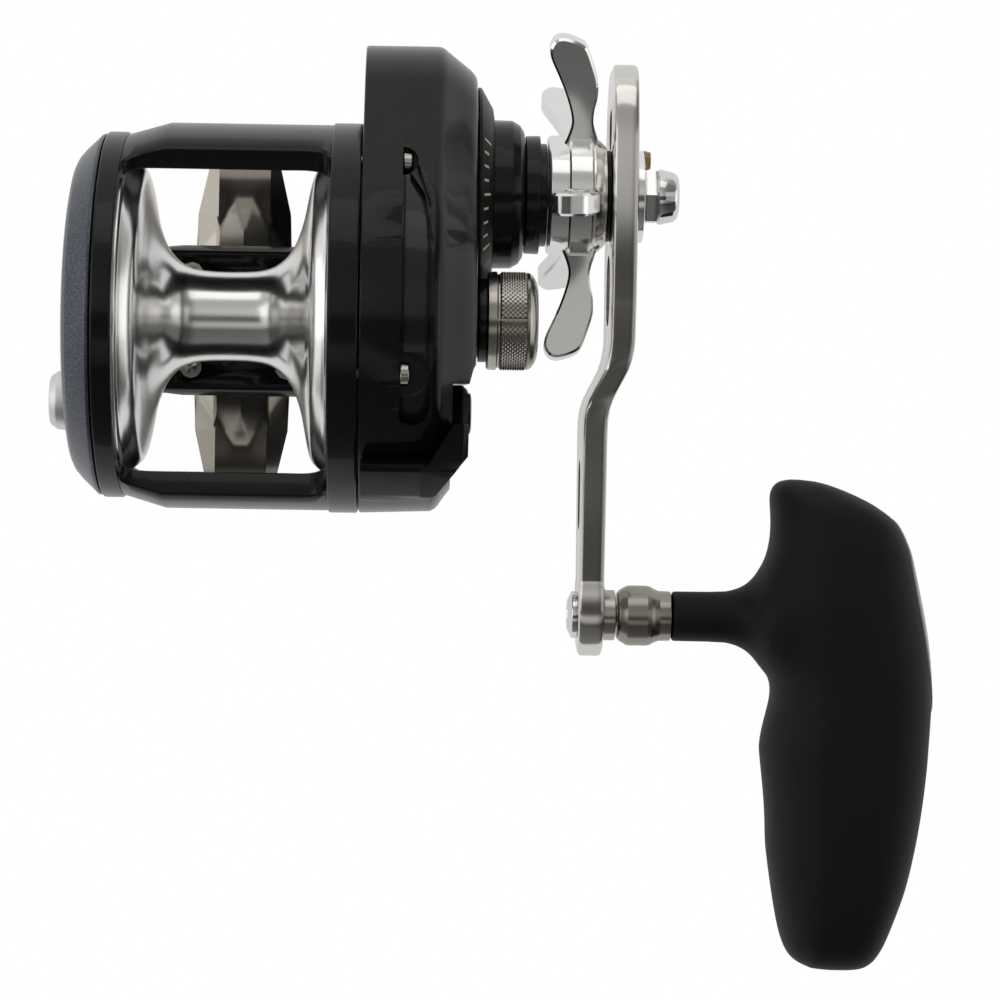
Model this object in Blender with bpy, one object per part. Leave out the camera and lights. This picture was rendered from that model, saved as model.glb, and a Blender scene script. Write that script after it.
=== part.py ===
"""Star-drag trolling reel, built from its separate pieces.

Frame of the model: +X runs along the spool axis towards the crank, +Y is forward (rod tip), +Z is up.
The origin is the centre of the flat strip under the reel foot. Sizes below are millimetres, and the mesh
helpers convert them to metres. Angles about a reel axis are degrees from +Y towards +Z.
"""

import math

import bmesh
import bpy

MM = 0.001

# ---------------------------------------------------------------- driving dimensions
SPOOL_Z = 48.0  # height of the spool axis over the foot's underside
CENTRE_DISTANCE = 29.0
GEAR_TEETH = 46
PINION_TEETH = 10
PRESSURE_ANGLE = math.radians(25.0)
MODULE = 2.0 * CENTRE_DISTANCE / (GEAR_TEETH + PINION_TEETH)
DRIVE_DROP = 12.0  # how far the drive axis lies below the spool axis
DRIVE_Y = math.sqrt(CENTRE_DISTANCE**2 - DRIVE_DROP**2)
DRIVE_Z = SPOOL_Z - DRIVE_DROP
CRANK_LENGTH = 86.4  # drive axis to knob axis

RIM_R = 32.4  # spool flange
RING_BORE_R = 32.9
LEFT_RING_R = 36.9
RIGHT_RING_R = 39.3
WINDOW_HALF = 20.6  # half the clear width between the frame's rings
LEFT_RING_X = -24.6
RIGHT_RING_X = 26.5

HOUSING_R = 39.2  # gear housing round the spool axis
BULGE_R = 30.1  # gear housing round the drive axis
WALL = 2.4
SEAT_X = 34.6  # where the housing screws bear
BACK_X = 26.7
FACE_X = 49.4

PLATE_SCREW_R = 36.8
PLATE_SCREW_ANGLES = (35.5, 108.0, 205.0, 262.0)
YOKE_POST = 13.5
LEFT_SCREW_R = 34.4
LEFT_SCREW_ANGLES = (-25.0, 205.0, 270.0)

SHAFT_R = 2.5  # spool shaft
DRIVE_R = 3.4  # drive shaft inside the housing
ARM_SHAFT_R = 3.0  # drive shaft where the star and the handle sit
SLEEVE_R = 6.4

CLICK_Y, CLICK_DROP = -17.5, 10.0  # click button, from the spool axis
CLICK_TRAVEL = 3.5
CLICK_TEETH = 20

LEVER_Y, LEVER_RISE = -18.8, 10.0  # clutch lever pivot, from the spool axis
LINK_LENGTH = 9.5

RATCHET_TEETH = 16
DOG_POST = (15.5, -100.0)  # radius and angle about the drive axis
DOG_TIP = (11.7, -70.0)
DOG_TIP_ENGAGED_ANGLE = -74.5

STAR_ARMS = 5
STAR_PHASE = 97.0
RETAINER_SCREW = (7.45, 0.0)  # from the drive axis

FOOT_SCREWS = [(x, y) for x in (-10.2, 10.2) for y in (-10.0, 10.0)]

ROUND = 32  # facets of a large round piece
MEDIUM = 20
SMALL = 16
TINY = 10


# ---------------------------------------------------------------- materials
def material(name, color, roughness, metallic):
    made = bpy.data.materials.new(name)
    made.use_nodes = True
    shader = made.node_tree.nodes["Principled BSDF"]
    shader.inputs["Base Color"].default_value = (*color, 1.0)
    shader.inputs["Roughness"].default_value = roughness
    shader.inputs["Metallic"].default_value = metallic
    return made


def make_materials():
    return {
        "black_gloss": material("black_gloss", (0.012, 0.012, 0.014), 0.22, 0.2),
        "black_satin": material("black_satin", (0.025, 0.025, 0.028), 0.42, 0.3),
        "slate_paint": material("slate_paint", (0.09, 0.10, 0.125), 0.38, 0.7),
        "polished_aluminium": material("polished_aluminium", (0.86, 0.86, 0.85), 0.12, 1.0),
        "satin_aluminium": material("satin_aluminium", (0.78, 0.78, 0.77), 0.3, 1.0),
        "arm_aluminium": material("arm_aluminium", (0.66, 0.64, 0.60), 0.3, 1.0),
        "nickel": material("nickel", (0.62, 0.60, 0.54), 0.25, 1.0),
        "chrome": material("chrome", (0.80, 0.80, 0.80), 0.08, 1.0),
        "steel": material("steel", (0.60, 0.60, 0.60), 0.28, 1.0),
        "brass": material("brass", (0.72, 0.55, 0.28), 0.3, 1.0),
        "bronze": material("bronze", (0.45, 0.30, 0.16), 0.35, 1.0),
        "carbon": material("carbon", (0.03, 0.03, 0.03), 0.6, 0.0),
        "grip_rubber": material("grip_rubber", (0.018, 0.018, 0.018), 0.6, 0.0),
        "spring_steel": material("spring_steel", (0.55, 0.55, 0.56), 0.25, 1.0),
        "inlay": material("inlay", (0.55, 0.56, 0.55), 0.35, 0.6),
    }


# ---------------------------------------------------------------- mesh helpers
def clear_scene():
    for obj in list(bpy.data.objects):
        bpy.data.objects.remove(obj, do_unlink=True)


def axis_empty(name, x, y, z):
    empty = bpy.data.objects.new(name, None)
    empty.location = (x * MM, y * MM, z * MM)
    empty.empty_display_size = 0.01
    bpy.context.scene.collection.objects.link(empty)
    return empty


def add_mesh(name, points, faces, finish, parent):
    """A closed mesh object from points in millimetres, with its faces turned outwards."""
    mesh = bpy.data.meshes.new(name)
    mesh.from_pydata([tuple(c * MM for c in p) for p in points], [], faces)
    shape = bmesh.new()
    shape.from_mesh(mesh)
    bmesh.ops.recalc_face_normals(shape, faces=shape.faces)
    shape.to_mesh(mesh)
    shape.free()
    mesh.shade_smooth()
    mesh.set_sharp_from_angle(angle=math.radians(35.0))
    obj = bpy.data.objects.new(name, mesh)
    bpy.context.scene.collection.objects.link(obj)
    obj.parent = parent
    if finish:
        mesh.materials.append(finish)
    return obj


def loft(name, rings, finish, parent=None, loop=False):
    """One closed body through rings of points. A ring of one point is a pole; loop joins last to first."""
    points, starts, faces = [], [], []
    for ring in rings:
        starts.append(len(points))
        points += ring
    pairs = [(k, k + 1) for k in range(len(rings) - 1)]
    if loop:
        pairs.append((len(rings) - 1, 0))
    for a, b in pairs:
        count_a, count_b = len(rings[a]), len(rings[b])
        count = max(count_a, count_b)
        for i in range(count):
            j = (i + 1) % count
            corners = (
                starts[a] + i % count_a,
                starts[a] + j % count_a,
                starts[b] + j % count_b,
                starts[b] + i % count_b,
            )
            faces.append(list(dict.fromkeys(corners)))
    if not loop:
        for k in (0, len(rings) - 1):
            if len(rings[k]) > 1:
                faces.append([starts[k] + i for i in range(len(rings[k]))])
    return add_mesh(name, points, faces, finish, parent)


def polar(radius, degrees):
    return radius * math.cos(math.radians(degrees)), radius * math.sin(math.radians(degrees))


def circle(radius, count, centre=(0.0, 0.0), phase=0.0):
    return [
        (centre[0] + y, centre[1] + z)
        for y, z in (polar(radius, phase + 360.0 * i / count) for i in range(count))
    ]


def at_x(x, outline):
    return [(x, y, z) for y, z in outline]


def turned(name, profile, count, finish, parent=None, centre=(0.0, 0.0), phase=0.0):
    """A piece turned about X. The profile is (x, radius); it closes on itself unless it ends on the axis."""
    rings = []
    for x, radius in profile:
        if radius == 0.0:
            rings.append([(x, *centre)])
        else:
            rings.append(at_x(x, circle(radius, count, centre, phase)))
    on_axis = profile[0][1] == 0.0 and profile[-1][1] == 0.0
    return loft(name, rings, finish, parent, loop=not on_axis)


def tube(name, x0, x1, inner, outer, count, finish, parent=None, centre=(0.0, 0.0), chamfer=0.0):
    """A turned ring, with its outer edges broken by the chamfer."""
    profile = [(x0, inner), (x0, outer - chamfer), (x0 + chamfer, outer)]
    profile += [(x1 - chamfer, outer), (x1, outer - chamfer), (x1, inner)]
    if chamfer == 0.0:
        profile = [(x0, inner), (x0, outer), (x1, outer), (x1, inner)]
    return turned(name, profile, count, finish, parent, centre)


def prism(name, x0, x1, outline, finish, parent=None):
    return loft(name, [at_x(x0, outline), at_x(x1, outline)], finish, parent)


def rod(name, x0, x1, radius, count, parent=None, centre=(0.0, 0.0), finish=None):
    return prism(name, x0, x1, circle(radius, count, centre), finish, parent)


def stadium(start, end, radius, count=6):
    """A slot outline from one centre to another."""
    along = math.degrees(math.atan2(end[1] - start[1], end[0] - start[0]))
    outline = []
    for centre, first in ((end, along - 90.0), (start, along + 90.0)):
        for i in range(count + 1):
            y, z = polar(radius, first + 180.0 * i / count)
            outline.append((centre[0] + y, centre[1] + z))
    return outline


def combine(target, cutter, operation="DIFFERENCE"):
    cutter.hide_render = True
    cutter.display_type = "WIRE"
    modifier = target.modifiers.new(cutter.name, "BOOLEAN")
    modifier.operation = operation
    modifier.solver = "EXACT"
    modifier.object = cutter


def cut(target, *cutters):
    for cutter in cutters:
        combine(target, cutter)


def join(target, *others):
    for other in others:
        combine(target, other, "UNION")


def box(name, low, high, finish=None, parent=None):
    def ring(x):
        return at_x(x, [(low[1], low[2]), (high[1], low[2]), (high[1], high[2]), (low[1], high[2])])

    return loft(name, [ring(low[0]), ring(high[0])], finish, parent)


def wire(name, path, radius, finish, parent=None):
    """A round wire along the path, as a curve with filled caps."""
    curve = bpy.data.curves.new(name, "CURVE")
    curve.dimensions = "3D"
    curve.bevel_depth = radius * MM
    curve.bevel_resolution = 0
    curve.use_fill_caps = True
    spline = curve.splines.new("POLY")
    spline.points.add(len(path) - 1)
    for point, place in zip(spline.points, path):
        point.co = (*(c * MM for c in place), 1.0)
    obj = bpy.data.objects.new(name, curve)
    bpy.context.scene.collection.objects.link(obj)
    curve.materials.append(finish)
    obj.parent = parent
    return obj


def bearing(name, x0, x1, inner, outer, finish, parent=None, centre=(0.0, 0.0)):
    """A shielded ball bearing: two races, with the recessed shield between them."""
    race, recess = 0.9, 0.35
    shield_in, shield_out = inner + race, outer - race
    profile = [(x0, inner), (x0, outer), (x1, outer), (x1, shield_out), (x1 - recess, shield_out)]
    profile += [(x1 - recess, shield_in), (x1, shield_in), (x1, inner)]
    return turned(name, profile, SMALL + 2, finish, parent, centre)


def screw(name, seat_x, length, shank_r, head_r, head_h, finish, parent=None, centre=(0.0, 0.0)):
    """A pan-head screw along X with its driver recess; the shank runs from the seat towards -X."""
    top, socket = seat_x + head_h, 0.5 * head_r
    profile = [(seat_x - length, 0.0), (seat_x - length, shank_r), (seat_x, shank_r), (seat_x, head_r)]
    profile += [(top, 0.85 * head_r), (top, socket), (top - 0.5 * head_h, 0.0)]
    return turned(name, profile, TINY, finish, parent, centre)


# ---------------------------------------------------------------- toothed outlines
def hexagon(flat, count):
    """A hexagon of this half width across flats, given by points at even angles."""
    outline = []
    for i in range(count):
        angle = 360.0 * i / count
        off = math.radians(angle % 60.0 if angle % 60.0 <= 30.0 else angle % 60.0 - 60.0)
        outline.append(polar(flat / math.cos(off), angle))
    return outline


def involute_angle(base_r, radius):
    """Polar angle of the involute at this radius, from its start on the base circle."""
    if radius <= base_r:
        return 0.0
    pressure = math.acos(base_r / radius)
    return math.tan(pressure) - pressure


def gear_outline(teeth, addendum, dedendum, tooth_share, phase):
    """Involute spur teeth; a tooth is centred on the phase angle, in degrees."""
    pitch_r = MODULE * teeth / 2.0
    base_r = pitch_r * math.cos(PRESSURE_ANGLE)
    root_r, tip_r = pitch_r - dedendum, pitch_r + addendum
    half_at_pitch = math.pi * tooth_share / teeth + involute_angle(base_r, pitch_r)
    radii = [root_r, pitch_r, tip_r]
    flank = [(r, half_at_pitch - involute_angle(base_r, r)) for r in radii]
    outline = []
    for tooth in range(teeth):
        middle = math.radians(phase) + 2.0 * math.pi * tooth / teeth
        for radius, half in flank:
            outline.append((radius * math.cos(middle - half), radius * math.sin(middle - half)))
        for radius, half in reversed(flank):
            outline.append((radius * math.cos(middle + half), radius * math.sin(middle + half)))
    return outline


def notch_outline(teeth, root_r, tip_r, root_share, tip_share, gap_angle):
    """Straight-sided teeth; a gap is centred on the gap angle."""
    pitch = 360.0 / teeth
    outline = []
    for tooth in range(teeth):
        middle = gap_angle + pitch * (tooth + 0.5)
        outline.append(polar(root_r, middle - 0.5 * pitch * root_share))
        outline.append(polar(tip_r, middle - 0.5 * pitch * tip_share))
        outline.append(polar(tip_r, middle + 0.5 * pitch * tip_share))
        outline.append(polar(root_r, middle + 0.5 * pitch * root_share))
    return outline


def bored_prism(name, x0, x1, outline, bore_r, finish, parent):
    made = prism(name, x0, x1, outline, finish, parent)
    cut(made, rod(f"{name}_bore", x0 - 1.0, x1 + 1.0, bore_r, MEDIUM, parent))
    return made


GEAR_LINE = math.degrees(math.atan2(-DRIVE_DROP, DRIVE_Y))  # spool axis towards drive axis


# ---------------------------------------------------------------- frame and foot
def arc_band(x, inner, outer, first, last, steps):
    angles = [first + (last - first) * i / steps for i in range(steps + 1)]
    band = [polar(outer, a) for a in angles] + [polar(inner, a) for a in reversed(angles)]
    return at_x(x, band)


def plate_screw_places():
    return [polar(PLATE_SCREW_R, angle) for angle in PLATE_SCREW_ANGLES]


def make_frame(finish, spool_axis):
    left = [(LEFT_RING_X, RING_BORE_R), (LEFT_RING_X, LEFT_RING_R - 0.5)]
    left += [(LEFT_RING_X + 0.5, LEFT_RING_R), (-WINDOW_HALF - 0.3, LEFT_RING_R)]
    left += [(-WINDOW_HALF, LEFT_RING_R - 0.3), (-WINDOW_HALF, RING_BORE_R)]
    frame = turned("frame", left, ROUND, finish, spool_axis)
    right = [(WINDOW_HALF, RING_BORE_R), (WINDOW_HALF, RIGHT_RING_R - 0.7)]
    right += [(WINDOW_HALF + 0.7, RIGHT_RING_R), (RIGHT_RING_X - 0.4, RIGHT_RING_R)]
    right += [(RIGHT_RING_X, RIGHT_RING_R - 0.4), (RIGHT_RING_X, RING_BORE_R)]
    join(frame, turned("frame_right_ring", right, ROUND, None, spool_axis))
    bar_sections = ((-22.2, 36.3), (-WINDOW_HALF, 36.5), (-12.0, 38.9), (22.2, 38.9))
    for name, first, last in (("front", -18.0, 32.5), ("rear", 158.0, 198.0)):
        rings = [arc_band(x, 33.5, outer, first, last, 6) for x, outer in bar_sections]
        join(frame, loft(f"frame_{name}_bar", rings, None, spool_axis))
    base = [arc_band(x, 34.2, 36.2 if x < -21.0 else 38.5, 245.0, 295.0, 8) for x in (-22.2, -16.0, 22.2)]
    join(frame, loft("frame_base", base, None, spool_axis))
    join(frame, box("frame_pedestal", (-13.2, -13.5, 2.6), (13.2, 13.5, 12.9)))
    for k, (x, y) in enumerate(FOOT_SCREWS):
        for part, radius, low, high in (("hole", 1.6, 1.0, 15.0), ("seat", 3.1, 13.5, 22.0)):
            cutter = rod(f"frame_foot_{part}_{k}", low, high, radius, TINY)
            cutter.location = (x * MM, y * MM, 0.0)
            cutter.rotation_euler = (0.0, -math.pi / 2.0, 0.0)
            cut(frame, cutter)
    for k, centre in enumerate(plate_screw_places()):
        cut(frame, rod(f"frame_screw_hole_{k}", 22.0, 28.0, 1.5, TINY, spool_axis, centre))
    for k, angle in enumerate(LEFT_SCREW_ANGLES):
        centre = polar(LEFT_SCREW_R, angle)
        cut(frame, rod(f"frame_left_hole_{k}", -26.0, -21.8, 1.2, TINY, spool_axis, centre))


def make_foot(finish, screw_finish):
    ridge = 4.0

    def section(y, half, droop, top):
        edge_drop = 0.5 * droop
        low = [(-half, y, -droop), (-ridge + 0.4, y, 0.0), (ridge - 0.4, y, 0.0), (half, y, -droop)]
        high = [(half, y, top - droop - edge_drop), (ridge, y, top), (-ridge, y, top)]
        return low + high + [(-half, y, top - droop - edge_drop)]

    half_foot = ((13.4, 13.6, 0.0, 2.4), (15.0, 10.8, 0.9, 2.4), (25.0, 10.6, 0.9, 2.3))
    half_foot += ((33.3, 8.2, 0.8, 1.9), (35.2, 7.2, 0.6, 1.5), (36.0, 5.6, 0.3, 1.1))
    rings = [section(-y, half, droop, top) for y, half, droop, top in reversed(half_foot)]
    rings += [section(y, half, droop, top) for y, half, droop, top in half_foot]
    foot = loft("reel_foot", rings, finish)
    for k, (x, y) in enumerate(FOOT_SCREWS):
        cutter = rod(f"foot_hole_{k}", -2.0, 4.0, 1.5, TINY)
        cutter.location = (x * MM, y * MM, 0.0)
        cutter.rotation_euler = (0.0, -math.pi / 2.0, 0.0)
        cut(foot, cutter)
        fastener = screw(f"foot_screw_{k + 1}", 0.0, 13.0, 1.3, 2.8, 1.5, screw_finish)
        fastener.location = (x * MM, y * MM, 13.7 * MM)
        fastener.rotation_euler = (0.0, -math.pi / 2.0, 0.0)


# ---------------------------------------------------------------- left side plate and clicker
def slide_direction():
    length = math.hypot(CLICK_Y, CLICK_DROP)
    return -CLICK_Y / length, CLICK_DROP / length


def along_slide(s, t):
    """A point s towards the spool axis and t across, from the click button's centre."""
    dy, dz = slide_direction()
    return s * dy - t * dz, s * dz + t * dy


def make_left_plate(colours, spool_axis, click_axis):
    outer = [(-32.3, 0.0), (-31.9, 18.0), (-30.7, 30.4), (-28.4, 33.7), (-25.3, 36.6), (-24.9, 36.6)]
    inner = [(-24.9, 31.6), (-27.7, 30.8), (-29.7, 22.0), (-30.1, 9.2)]
    inner += [(-25.6, 9.2), (-25.6, 6.8), (-30.2, 6.8), (-30.2, 0.0)]
    plate = turned("left_side_plate", outer + inner, ROUND, colours["slate_paint"], spool_axis)
    slot = stadium(along_slide(0.0, 0.0), along_slide(CLICK_TRAVEL, 0.0), 2.4)
    cut(plate, prism("left_plate_slot", -34.0, -28.0, slot, None, click_axis))
    for k, angle in enumerate(LEFT_SCREW_ANGLES):
        centre = polar(LEFT_SCREW_R, angle)
        cut(plate, rod(f"left_plate_hole_{k}", -30.0, -24.0, 1.3, TINY, spool_axis, centre))
        cut(plate, rod(f"left_plate_seat_{k}", -34.0, -26.7, 2.3, TINY, spool_axis, centre))
        fastener = screw(f"left_plate_screw_{k + 1}", 0.0, 4.4, 0.95, 2.0, 1.3, colours["steel"], spool_axis)
        fastener.location = (-26.9 * MM, centre[0] * MM, centre[1] * MM)
        fastener.rotation_euler = (0.0, 0.0, math.pi)
    bearing("left_spool_bearing", -28.9, -25.9, 2.7, 6.5, colours["steel"], spool_axis)


def make_clicker(colours, click_axis):
    button = [(-37.1, 0.0), (-37.1, 4.2), (-36.6, 5.2), (-35.8, 5.7), (-32.6, 5.8), (-32.6, 2.0)]
    button += [(-24.9, 2.0), (-24.9, 1.3), (-23.0, 1.3), (-23.0, 0.0)]
    turned("click_button", button, MEDIUM - 8, colours["satin_aluminium"], click_axis)
    tongue = [(-2.6, -1.6), (-1.0, -2.8), (2.2, -2.0), (6.3, -0.5)]
    tongue += [(s, -t) for s, t in reversed(tongue)]
    outline = [along_slide(s, t) for s, t in tongue]
    pawl = prism("click_pawl", -24.5, -23.2, outline, colours["steel"], click_axis)
    cut(pawl, rod("click_pawl_hole", -26.0, -22.0, 1.5, SMALL, click_axis))
    leg, bend = 3.1, 3.0
    path = [(7.0, leg), (-bend, leg)]
    path += [(-bend + polar(leg, 90.0 + a)[0], polar(leg, 90.0 + a)[1]) for a in (30, 60, 90, 120, 150)]
    path += [(-bend, -leg), (7.0, -leg)]
    path = [(-27.8, *along_slide(s, t)) for s, t in path]
    wire("click_spring", path, 0.4, colours["spring_steel"], click_axis)


# ---------------------------------------------------------------- spool
def make_spool(colours, spool_axis):
    side = [(0.0, 9.0), (7.5, 9.6), (11.9, 12.8), (14.0, 17.0), (16.3, 27.0), (17.8, 30.0), (20.4, RIM_R)]
    side += [(22.3, RIM_R)]
    recess = [(22.3, 30.6), (19.7, 28.4), (16.3, 17.4), (13.2, 9.8), (13.2, 5.0)]
    right_end, left_end, bore = 22.8, -24.7, SHAFT_R + 0.12
    profile = [(-x, r) for x, r in reversed(side)] + side[1:] + recess
    profile += [(right_end, 5.0), (right_end, bore), (left_end, bore), (left_end, 5.0)]
    profile += [(-x, r) for x, r in reversed(recess)]
    turned("spool", profile, ROUND, colours["polished_aluminium"], spool_axis)
    gap_angle = math.degrees(math.atan2(-CLICK_DROP, CLICK_Y))
    teeth = notch_outline(CLICK_TEETH, 9.8, 12.5, 0.5, 0.25, gap_angle)
    bored_prism("click_gear", -24.5, -23.2, teeth, 5.15, colours["steel"], spool_axis)
    shaft = [(-29.0, 0.0), (-29.0, 1.7), (-28.6, SHAFT_R), (55.3, SHAFT_R), (55.9, 1.9), (55.9, 0.0)]
    steel_shaft = turned("spool_shaft", shaft, SMALL, colours["steel"], spool_axis)
    hole = rod("spool_shaft_pin_hole", -5.0, 5.0, 0.95, TINY, spool_axis)
    pin = rod("spool_drive_pin", -3.9, 3.9, 0.8, TINY, spool_axis, finish=colours["steel"])
    for piece in (hole, pin):
        piece.location = (25.3 * MM, 0.0, 0.0)
        piece.rotation_euler = (0.0, 0.0, math.pi / 2.0)
    cut(steel_shaft, hole)


# ---------------------------------------------------------------- gear housing
def housing_outline(spool_r, drive_r, count=36):
    """The convex outline round both axes, as seen along X, in spool-axis coordinates."""
    outline = []
    for i in range(count):
        y, z = polar(1.0, 360.0 * i / count)
        bulge_support = DRIVE_Y * y - DRIVE_DROP * z + BULGE_R
        if bulge_support > HOUSING_R:
            outline.append((DRIVE_Y + drive_r * y, -DRIVE_DROP + drive_r * z))
        else:
            outline.append((spool_r * y, spool_r * z))
    return outline


def make_gear_plate(colours, spool_axis, drive_axis):
    """The bridge that carries the gears, clamped in the open back of the housing."""
    inset = WALL + 0.2
    outline = housing_outline(HOUSING_R - inset, BULGE_R - inset)
    plate = prism("gear_plate", BACK_X + 0.2, 28.3, outline, colours["satin_aluminium"], spool_axis)
    join(plate, rod("pinion_bearing_boss", 26.0, 29.0, 9.8, MEDIUM, spool_axis))
    join(plate, rod("gear_stud", 27.5, 40.3, 2.0, SMALL, drive_axis))
    posts = [("dog_post", 29.8, drive_point(*DOG_POST))]
    posts += [(f"yoke_post_{k}", 45.0, yoke_point(-0.5, v)) for k, v in enumerate((-YOKE_POST, YOKE_POST))]
    for name, top, centre in posts:
        join(plate, rod(name, 27.5, top, 1.15, TINY, spool_axis, centre))
    cut(plate, rod("pinion_bearing_seat", 25.0, 30.0, 8.35, MEDIUM, spool_axis))
    for k, centre in enumerate(plate_screw_places()):
        cut(plate, rod(f"gear_plate_relief_{k}", 25.0, 30.0, 3.2, SMALL, spool_axis, centre))


def drive_point(radius, degrees):
    """A point about the drive axis, in spool-axis coordinates."""
    y, z = polar(radius, degrees)
    return DRIVE_Y + y, -DRIVE_DROP + z


def make_housing(colours, spool_axis, drive_axis):
    sections = ((BACK_X, 38.9, 29.8), (BACK_X + 0.4, 39.2, 30.1), (34.8, 39.2, 30.1), (36.6, 39.0, 30.1))
    sections += ((42.2, 36.0, 30.1), (47.4, 31.0, 26.1), (FACE_X, 28.0, 23.8))
    rings = [at_x(x, housing_outline(spool_r, drive_r)) for x, spool_r, drive_r in sections]
    housing = loft("gear_housing", rings, colours["black_gloss"], spool_axis)
    step = 1.0
    inside = ((25.0, 36.8, 27.7), (28.45, 36.8, 27.7), (28.45, 36.8 - step, 27.7 - step))
    inside += ((37.0, 35.6, 27.0), (41.3, 33.0, 27.0), (46.3, 28.0, 23.0))
    rings = [at_x(x, housing_outline(spool_r, drive_r)) for x, spool_r, drive_r in inside]
    cavity = loft("housing_cavity", rings, None, spool_axis)
    for k, centre in enumerate(plate_screw_places()):
        cut(cavity, rod(f"housing_column_{k}", 20.0, 42.5, 2.35, TINY, spool_axis, centre))
        cut(cavity, rod(f"housing_pocket_wall_{k}", 33.6, 42.6, 4.7, TINY, spool_axis, centre))
    shelf_y = -13.0
    cut(cavity, box("shelf_inside", (42.4, -60.0, -60.0), (60.0, shelf_y + 2.4, 60.0), None, spool_axis))
    cut(housing, cavity)
    nose = [(46.5, 0.0), (46.5, 15.4), (56.8, 15.2), (58.4, 14.3), (59.3, 12.9), (59.3, 0.0)]
    join(housing, turned("housing_nose", nose, MEDIUM + 4, None, drive_axis))
    boss = [(45.4, 0.0), (45.4, 7.5), (50.2, 7.5), (50.2, 8.5), (52.0, 8.5), (52.0, 7.3)]
    boss += [(56.0, 7.3), (56.0, 0.0)]
    join(housing, turned("tension_boss", boss, MEDIUM, None, spool_axis))
    cut(housing, rod("housing_nose_bore", 44.0, 62.0, 10.6, MEDIUM, drive_axis))
    cut(housing, rod("tension_boss_bore", 44.0, 58.0, 6.35, MEDIUM, spool_axis))
    cut(housing, box("lever_shelf", (44.9, -60.0, -60.0), (60.0, shelf_y, 60.0), None, spool_axis))
    cut(housing, rod("lever_pivot_bore", 38.0, 52.0, 2.2, TINY, spool_axis, (LEVER_Y, LEVER_RISE)))
    reach = 1.35
    for k, centre in enumerate(plate_screw_places()):
        pocket = stadium(centre, (centre[0] * reach, centre[1] * reach), 3.1, 5)
        cut(housing, prism(f"housing_pocket_{k}", SEAT_X, 40.2, pocket, None, spool_axis))
        cut(housing, rod(f"housing_screw_hole_{k}", 24.0, 36.0, 1.5, TINY, spool_axis, centre))
        name = f"housing_screw_{k + 1}"
        screw(name, SEAT_X + 0.1, 12.0, 1.25, 2.3, 1.8, colours["nickel"], spool_axis, centre)


def make_housing_trim(colours, spool_axis, drive_axis):
    ring = [(49.7, 15.75), (49.7, 22.0), (50.3, 21.8), (52.8, 17.4), (53.1, 15.75)]
    index = turned("index_ring", ring, MEDIUM + 4, colours["black_satin"], drive_axis)
    cut(index, rod("index_ring_relief", 49.0, 55.0, 10.8, MEDIUM, spool_axis))


def make_tension_control(colours, spool_axis):
    bearing("right_spool_bearing", 49.7, 52.9, 2.7, 6.1, colours["steel"], spool_axis)
    profile = [(56.5, 0.0), (56.5, 7.75), (52.3, 7.75), (52.3, 9.7), (52.7, 10.1), (60.2, 10.1)]
    profile += [(61.6, 9.3), (62.2, 8.4), (62.2, 3.0), (61.5, 2.6), (61.5, 0.0)]
    cap = turned("tension_knob", profile, MEDIUM, colours["nickel"], spool_axis)
    for k in range(8):
        centre = polar(10.6, 45.0 * k + 20.0)
        cut(cap, rod(f"tension_knob_flute_{k}", 53.6, 64.0, 0.8, TINY, spool_axis, centre))


# ---------------------------------------------------------------- clutch
def yoke_point(u, v):
    """u runs from the spool axis towards the drive axis, v across it."""
    along = math.radians(GEAR_LINE)
    return u * math.cos(along) - v * math.sin(along), u * math.sin(along) + v * math.cos(along)


def make_pinion(colours, spool_axis):
    tooth_phase = GEAR_LINE
    teeth = gear_outline(PINION_TEETH, 0.9, 1.2, 0.42, tooth_phase)

    body, groove, flange = 3.75, 3.7, 5.6
    profile = [(24.3, 0.0), (24.3, body), (34.0, body), (34.0, groove), (36.6, groove), (36.6, flange)]
    profile += [(37.6, flange), (37.6, groove), (41.5, groove), (41.5, 0.0)]
    pinion = turned("pinion", profile, SMALL, colours["brass"], spool_axis, phase=4.0)
    join(pinion, prism("pinion_teeth", 29.4, 34.2, teeth, None, spool_axis))
    cut(pinion, rod("pinion_bore", 23.0, 43.0, 2.8, SMALL, spool_axis))
    cut(pinion, box("pinion_slot", (23.0, -6.0, -1.05), (26.5, 6.0, 1.05), None, spool_axis))
    bearing("pinion_bearing", 26.2, 28.9, 4.15, 8.1, colours["steel"], spool_axis)


def make_yoke(colours, spool_axis):
    notch = [(3.4, -4.1), (0.0, -4.1)]
    notch += [polar(4.1, 270.0 - a) for a in (30, 60, 90, 120, 150)]
    notch += [(0.0, 4.1), (3.4, 4.1)]
    side = [(3.4, 6.4), (2.0, 8.4), (2.0, 15.4), (0.8, 16.6)]
    side += [(-1.8, 16.6), (-3.0, 15.4), (-3.2, 8.6), (-6.4, 5.2)]
    outline = [yoke_point(u, v) for u, v in notch + side + [(u, -v) for u, v in reversed(side)]]
    yoke = prism("yoke", 34.5, 36.3, outline, colours["steel"], spool_axis)
    for k, v in enumerate((-YOKE_POST, YOKE_POST)):
        place = yoke_point(-0.5, v)
        cut(yoke, rod(f"yoke_hole_{k}", 33.0, 38.0, 1.5, TINY, spool_axis, place))
        turns, per_turn, low, high = 4, 8, 36.8, 43.5
        path = []
        for i in range(turns * per_turn + 1):
            y, z = polar(1.95, 360.0 * i / per_turn)
            path.append((low + (high - low) * i / (turns * per_turn), place[0] + y, place[1] + z))
        wire(f"yoke_spring_{k + 1}", path, 0.35, colours["spring_steel"], spool_axis)


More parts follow.
